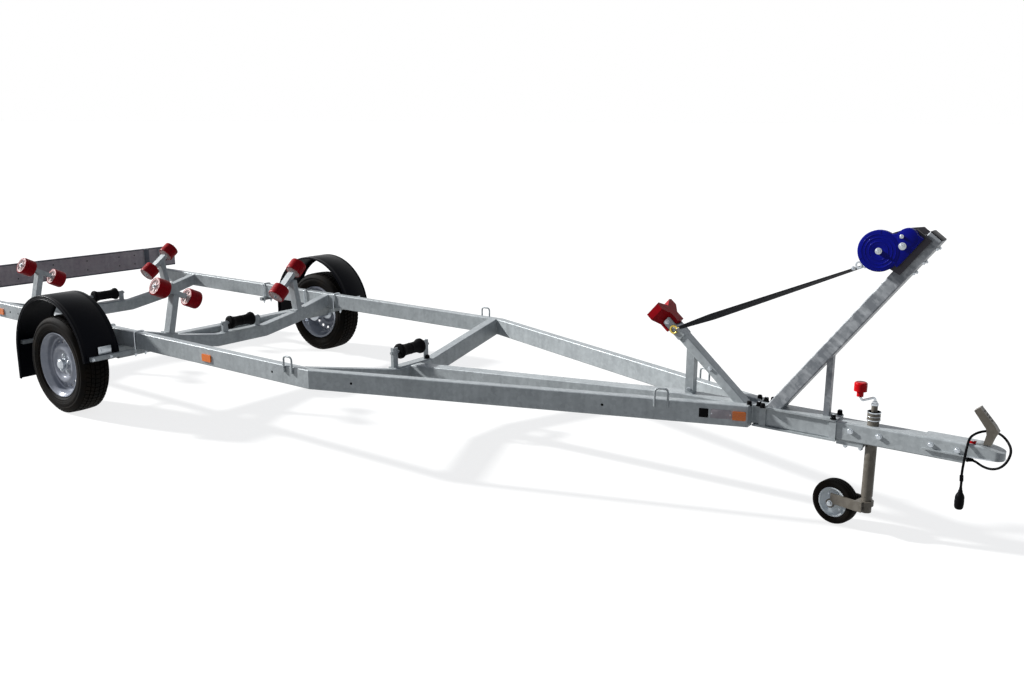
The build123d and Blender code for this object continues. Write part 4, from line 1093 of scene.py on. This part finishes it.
class TRAILER_OT_add_fasteners(bpy.types.Operator):
    """Bolts, nuts and U-bolts of the frame, posts, coupling and roller brackets"""

    bl_idname = "trailer.add_fasteners"
    bl_label = "Fasteners"

    # X from the axle, Y, Z, the way the head faces, its width across flats and the stud
    heads: tuple = (
        (4357, -40, 452, (0, -1, 0), 19, 0), (4475, -40, 452, (0, -1, 0), 19, 0),
        (4357, 40, 452, (0, 1, 0), 19, 6), (4475, 40, 452, (0, 1, 0), 19, 6),
        (4681, -46, 461, (0, -1, 0), 17, 0), (4782, -46, 457, (0, -1, 0), 17, 0),
        (4681, 46, 461, (0, 1, 0), 17, 6), (4782, 46, 457, (0, 1, 0), 17, 6),
        (3950, -44, 493, (0, 0, 1), 19, 10), (3950, 44, 493, (0, 0, 1), 19, 10),
        (4283, -44, 493, (0, 0, 1), 19, 12), (4283, 44, 493, (0, 0, 1), 19, 12),
        (4330, 0, 377, (0, 0, -1), 17, 4), (4395, 0, 377, (0, 0, -1), 17, 4),
        (3476, -36, 816, (0, -1, 0), 17, 5), (3476, 36, 816, (0, 1, 0), 17, 5),
        (3700, -30, 622, (0, -1, 0), 15, 0), (3595, -20, 505, (0, -1, 0), 15, 0),
    )
    # Y and Z along a U-bolt
    clamp: tuple = (
        (772, 366), (772, 430), (772, 494), (776, 502), (805, 503), (834, 502), (838, 494),
        (838, 430), (838, 366),
    )

    def execute(self, context):
        bm = bmesh.new()
        for x, y, z, out, across, stud in self.heads:
            bolt(bm, spot(x, y, z), out, across, stud)
        post = post_place()
        for along in (863, 919, 993):
            for across in (-0.024, 0.024):
                foot = post @ Matrix.Translation((along / 1000, -0.0605, across))
                out = post.to_3x3() @ Vector((0, -1, 0))
                bolt(bm, foot.translation, out, 13.0, 4.0, washer=False)
        for x in CLAMP_XS:
            for sign in SIDES.values():
                for y in (772.0, 838.0):
                    bolt(bm, spot(x, sign * y, 372.0), (0, 0, -1), 15.0, 10.0)
        finish_mesh(bm, "frame_bolts", "zinc_plate")

        for side, sign in SIDES.items():
            for number, x in enumerate(CLAMP_XS):
                points = [spot(x, sign * y, z) for y, z in self.clamp]
                bent_wire(f"u_bolt_{side}_{number}", points, 4.5, "zinc_plate")
        return {"FINISHED"}


class TRAILER_OT_add_jockey_fittings(bpy.types.Operator):
    """The jockey wheel's dished rim and tyre, its axle nuts and the rings of the leg's head"""

    bl_idname = "trailer.add_jockey_fittings"
    bl_label = "Jockey wheel fittings"

    def execute(self, context):
        trail = Vector((cos(JOCKEY_YAW), sin(JOCKEY_YAW), 0))
        middle = spot(JOCKEY_X, 0, 100) - trail * JOCKEY_TRAIL / 1000
        axle = Vector((-trail.y, trail.x, 0))
        place = facing(middle, axle, (0, 0, 1))
        bm = bmesh.new()
        half = [
            (6.2, 36), (13, 36), (15.5, 34.5), (16, 20), (18, 14.5), (24, 12.5), (30, 12),
            (34, 8.5), (46, 8), (52, 10), (57, 16), (59.6, 23), (61.6, 26), (64.6, 26.6),
            (67, 25.4), (67.9, 22),
        ]
        lathe(bm, mirrored(half), place, 72, closed=True)
        finish_mesh(
            bm, "jockey_dish", "jockey_rim_grey", "jockey_wheel", ["jockey_rim"], smooth=34.0,
        )
        bm = bmesh.new()
        tread = [
            (68, 22), (68, 25.6), (72, 28.4), (78, 30.6), (80, 29.6), (82, 31.2), (88, 31.6),
            (93, 29.6), (97.4, 25), (99.4, 18), (99.8, 11), (98.2, 9.6), (98.2, 7.4), (99.9, 6),
            (100, 2),
        ]
        lathe(bm, mirrored(tread), place, 84, closed=True)
        finish_mesh(
            bm, "jockey_tyre_moulded", "tyre_rubber", "jockey_wheel", ["jockey_tyre"],
            smooth=30.0,
        )
        bm = bmesh.new()
        for number in range(4):
            for end in (-1, 1):
                turn = radians(45 + 90 * number)
                foot = place @ Matrix.Rotation(turn, 4, "Z") @ shift(40, z=end * 7.8)
                bolt(bm, foot.translation, axle * end, 8.0, stud=1.5, washer=False)
        finish_mesh(bm, "jockey_dish_bolts", "zinc_plate", "jockey_wheel")
        bm = bmesh.new()
        for end in (-1, 1):
            bolt(bm, middle + axle * end * 0.0456, axle * end, 19.0, stud=2.0)
        finish_mesh(bm, "jockey_axle_nuts", "zinc_plate", "jockey_swivel")
        bm = bmesh.new()
        head = upright(JOCKEY_X, 0, 0)
        for low, tall, r in ((507, 4, 28.0), (524, 2, 27.7), (540, 5, 28.2), (572, 8, 15.0)):
            top = low + tall
            band = [(10, low), (r, low), (r + 0.7, low + tall / 2), (r, top), (10, top)]
            lathe(bm, band, head, 40, closed=True)
        nut = [(8, 580), (11.5, 580), (11.5, 586), (9.5, 590), (8, 590)]
        lathe(bm, nut, head, 6, closed=True)
        finish_mesh(bm, "jockey_head_rings", "zinc_plate")
        return {"FINISHED"}


class TRAILER_OT_add_coupling_trim(bpy.types.Operator):
    """The coupling's rolled lower edge and its wear indicator"""

    bl_idname = "trailer.add_coupling_trim"
    bl_label = "Coupling trim"

    def execute(self, context):
        half = [
            (4652, -46.5), (4720, -46.5), (4800, -46.5), (4856, -45), (4900, -42), (4930, -34),
            (4946, -18),
        ]
        line = half + [(4950, 0)] + [(x, -y) for x, y in reversed(half)]
        rim = [spot(x, y, 439.5) for x, y in line]
        bent_wire("coupling_edge", rim, 2.8, "galvanised", "zinc_plate")
        bm = bmesh.new()
        block(bm, (27, 12, 9), upright(4829, -24, 494.5), 2.4)
        block(bm, (9, 9, 6), upright(4840, -24, 499), 1.4)
        finish_mesh(bm, "coupling_indicator", "red_plastic")
        return {"FINISHED"}


def rail_face(sign, x, z):
    """A matrix on a rail's outer face: X up, Z out of the face."""
    turn = FRONT_ANGLE if x > RAIL_KNEE else 0.0
    y = FRAME_HALF - max(0.0, x - RAIL_KNEE) * sin(turn) / cos(turn)
    return facing(spot(x, sign * y, z), (sin(turn), sign * cos(turn), 0))


class TRAILER_OT_add_rail_details(bpy.types.Operator):
    """Blank plates, plugged holes, clips and bolts of the rails, guards and light board"""

    bl_idname = "trailer.add_rail_details"
    bl_label = "Rail details"

    def execute(self, context):
        black, dull, dark, bright = bmesh.new(), bmesh.new(), bmesh.new(), bmesh.new()
        right = SIDES["right"]
        block(black, (42, 42, 2.4), rail_face(right, 3738, 450) @ shift(z=1.2), 0.8)
        block(dull, (42, 92, 1.4), rail_face(right, 3810, 450) @ shift(z=0.7), 0.5)
        for across in (-41, 41):
            rivet = rail_face(right, 3810, 450) @ shift(y=across, z=1.4)
            lathe(bright, [(0, 0), (2.6, 0), (2.2, 1.1), (0, 1.4)], rivet, 14)
        plug = [(0, -1), (6.5, -1), (6.5, 0.4), (5.8, 0.8), (0, 0.8)]
        for sign in SIDES.values():
            for x in (-1086, -981, 1600, 2100, 3300):
                lathe(black, plug, rail_face(sign, x, 447), 20)
        # caps on the bolts that clamp the rails to the drawbar
        cap = [(0, 0), (13, 0), (13, 3), (11, 4.2), (10.4, 17), (8, 20), (0, 20.6)]
        for x, y in ((3912, 62), (3950, 44), (3975, 62), (4283, 44)):
            for sign in SIDES.values():
                lathe(black, cap, upright(x, sign * y, 493), 20)
        foot = [(0, 0), (15, 0), (15, 14), (12, 20), (0, 21)]
        lathe(black, foot, upright(1834, 134, 364), 20)
        # the light board's folded edges and a thin plate over its bracket, in dark bluish zinc
        # that is painted shade
        for z in (BOARD_EDGES[0] + 4, BOARD_EDGES[1] - 4):
            block(dark, (3, 1886, 9), upright(-1740.6, 0, z), 1.0)
        for y in (-672, 672):
            block(dark, (2, 44, 150), upright(-1735.0, y, 595), 0.6)
        for y in (-860, -560, -420, -140, 140, 420, 560, 860):
            for z in (560, 632):
                lathe(black, [(0, -1), (5, -1), (5, 0.5), (4.4, 0.8), (0, 0.8)],
                      facing(spot(-1742, y, z), (1, 0, 0)), 16)
        # clips and bolts on the guards' ends
        for sign in SIDES.values():
            clip = spot(362.3, sign * 1022, 424)
            block(bright, (2.4, 82, 46), Matrix.Translation(clip), 0.8)
            bolt(bright, clip + Vector((0.0012, sign * 0.018, 0.004)), (1, 0, 0), 12.0)
            for y in (1000, 1110):
                bolt(bright, spot(386, sign * y, 385), (1, 0, 0), 13.0, 3.0)
            for z in (350, 388):
                bolt(bright, spot(-413, sign * 1128, z), (-1, 0, 0), 12.0, 3.0)
        finish_mesh(black, "hole_plugs", "black_plastic", finish="black_rubber")
        finish_mesh(dull, "blank_plate", "board_zinc")
        # the folds and the bracket plate take the zinc darkened as painted shade
        finish_mesh(dark, "board_folds", "galvanised", finish="shaded_zinc")
        finish_mesh(bright, "guard_clips", "zinc_plate")
        return {"FINISHED"}


class TRAILER_OT_add_end_caps(bpy.types.Operator):
    """Plastic caps in the rails' rear ends and on the winch post's head"""

    bl_idname = "trailer.add_end_caps"
    bl_label = "End caps"

    def execute(self, context):
        bm = bmesh.new()
        post = post_place()
        top = post @ shift(1031.5, -30)
        turned = top @ Matrix.Rotation(pi / 2, 4, "Y")
        block(bm, (76, 56, 5), turned, 2.0)
        for sign in SIDES.values():
            block(bm, (5, 46, 94), upright(-1691.5, sign * 805, 447), 1.6)
        finish_mesh(bm, "tube_end_caps", "black_plastic")
        return {"FINISHED"}


class TRAILER_OT_add_stage(bpy.types.Operator):
    """The floor, the lights and the camera"""

    bl_idname = "trailer.add_stage"
    bl_label = "Floor, lights and camera"

    def execute(self, context):
        settings = context.scene.trailer_light
        bm = bmesh.new()
        bmesh.ops.create_grid(bm, x_segments=2, y_segments=2, size=FLOOR_HALF)
        floor = solid(bm, "floor")
        floor.data.materials.append(FINISHES["floor"])

        world = bpy.data.worlds.new("soft_sky")
        context.scene.world = world
        world.use_nodes = True
        tree = world.node_tree
        back = tree.nodes["Background"]
        back.inputs["Color"].default_value = tone("#D4E1FC")
        back.inputs["Strength"].default_value = settings.sky
        seen = add_node(tree, "ShaderNodeBackground", {"Color": WHITE, "Strength": 1.0})
        pick = add_node(
            tree, "ShaderNodeMixShader",
            {0: seen_directly(tree), 1: back.outputs[0], 2: seen.outputs[0]},
        )
        tree.links.new(pick.outputs[0], tree.nodes["World Output"].inputs["Surface"])

        for name, share, angle, away in SUNS:
            lamp = bpy.data.lights.new(name, "SUN")
            lamp.energy = settings.key * share
            lamp.angle = radians(angle)
            light = linked(name, lamp)
            light.rotation_euler = Vector(away).to_track_quat("Z", "Y").to_euler()

        yaw, pitch, roll = (radians(turn) for turn in CAMERA_TURNS)
        ahead = Vector((cos(yaw) * cos(pitch), sin(yaw) * cos(pitch), sin(pitch)))
        right = ahead.cross(Vector((0, 0, 1))).normalized()
        up = right.cross(ahead)
        across = right * cos(roll) + up * sin(roll)
        over = up * cos(roll) - right * sin(roll)
        data = bpy.data.cameras.new("camera")
        data.sensor_width = 36.0
        data.lens = CAMERA_LENS
        data.clip_end = 2000.0
        camera = linked("camera", data)
        stance = Matrix((across, over, -ahead)).transposed().to_4x4()
        stance.translation = spot(*CAMERA_PLACE)
        camera.matrix_world = stance
        context.scene.camera = camera
        context.scene.view_settings.view_transform = "Standard"
        return {"FINISHED"}


OPERATORS = (
    TRAILER_OT_finish_frame,
    TRAILER_OT_add_cable,
    TRAILER_OT_add_tyres,
    TRAILER_OT_add_wheel_fittings,
    TRAILER_OT_add_side_rollers,
    TRAILER_OT_add_keel_rollers,
    TRAILER_OT_add_mudguards,
    TRAILER_OT_add_winch,
    TRAILER_OT_add_strap,
    TRAILER_OT_add_fasteners,
    TRAILER_OT_add_jockey_fittings,
    TRAILER_OT_add_coupling_trim,
    TRAILER_OT_add_rail_details,
    TRAILER_OT_add_end_caps,
    TRAILER_OT_add_stage,
)


class TRAILER_PT_panel(bpy.types.Panel):
    """The trailer's pieces, in the order they are made"""

    bl_label = "Boat trailer"
    bl_idname = "TRAILER_PT_panel"
    bl_space_type = "VIEW_3D"
    bl_region_type = "UI"
    bl_category = "Trailer"

    def draw(self, context):
        for name in TrailerSizes.__annotations__:
            self.layout.prop(context.scene.trailer_sizes, name)
        for name in StageLight.__annotations__:
            self.layout.prop(context.scene.trailer_light, name)
        for operator in OPERATORS:
            self.layout.operator(operator.bl_idname)


CLASSES = (TrailerSizes, StageLight, *OPERATORS, TRAILER_PT_panel)


def register():
    for kind in CLASSES:
        bpy.utils.register_class(kind)
    bpy.types.Scene.trailer_sizes = bpy.props.PointerProperty(type=TrailerSizes)
    bpy.types.Scene.trailer_light = bpy.props.PointerProperty(type=StageLight)


def unregister():
    del bpy.types.Scene.trailer_light
    del bpy.types.Scene.trailer_sizes
    for kind in reversed(CLASSES):
        bpy.utils.unregister_class(kind)


def main():
    register()
    for operator in OPERATORS:
        group, name = operator.bl_idname.split(".")
        getattr(getattr(bpy.ops, group), name)()


if __name__ == "__main__":
    main()
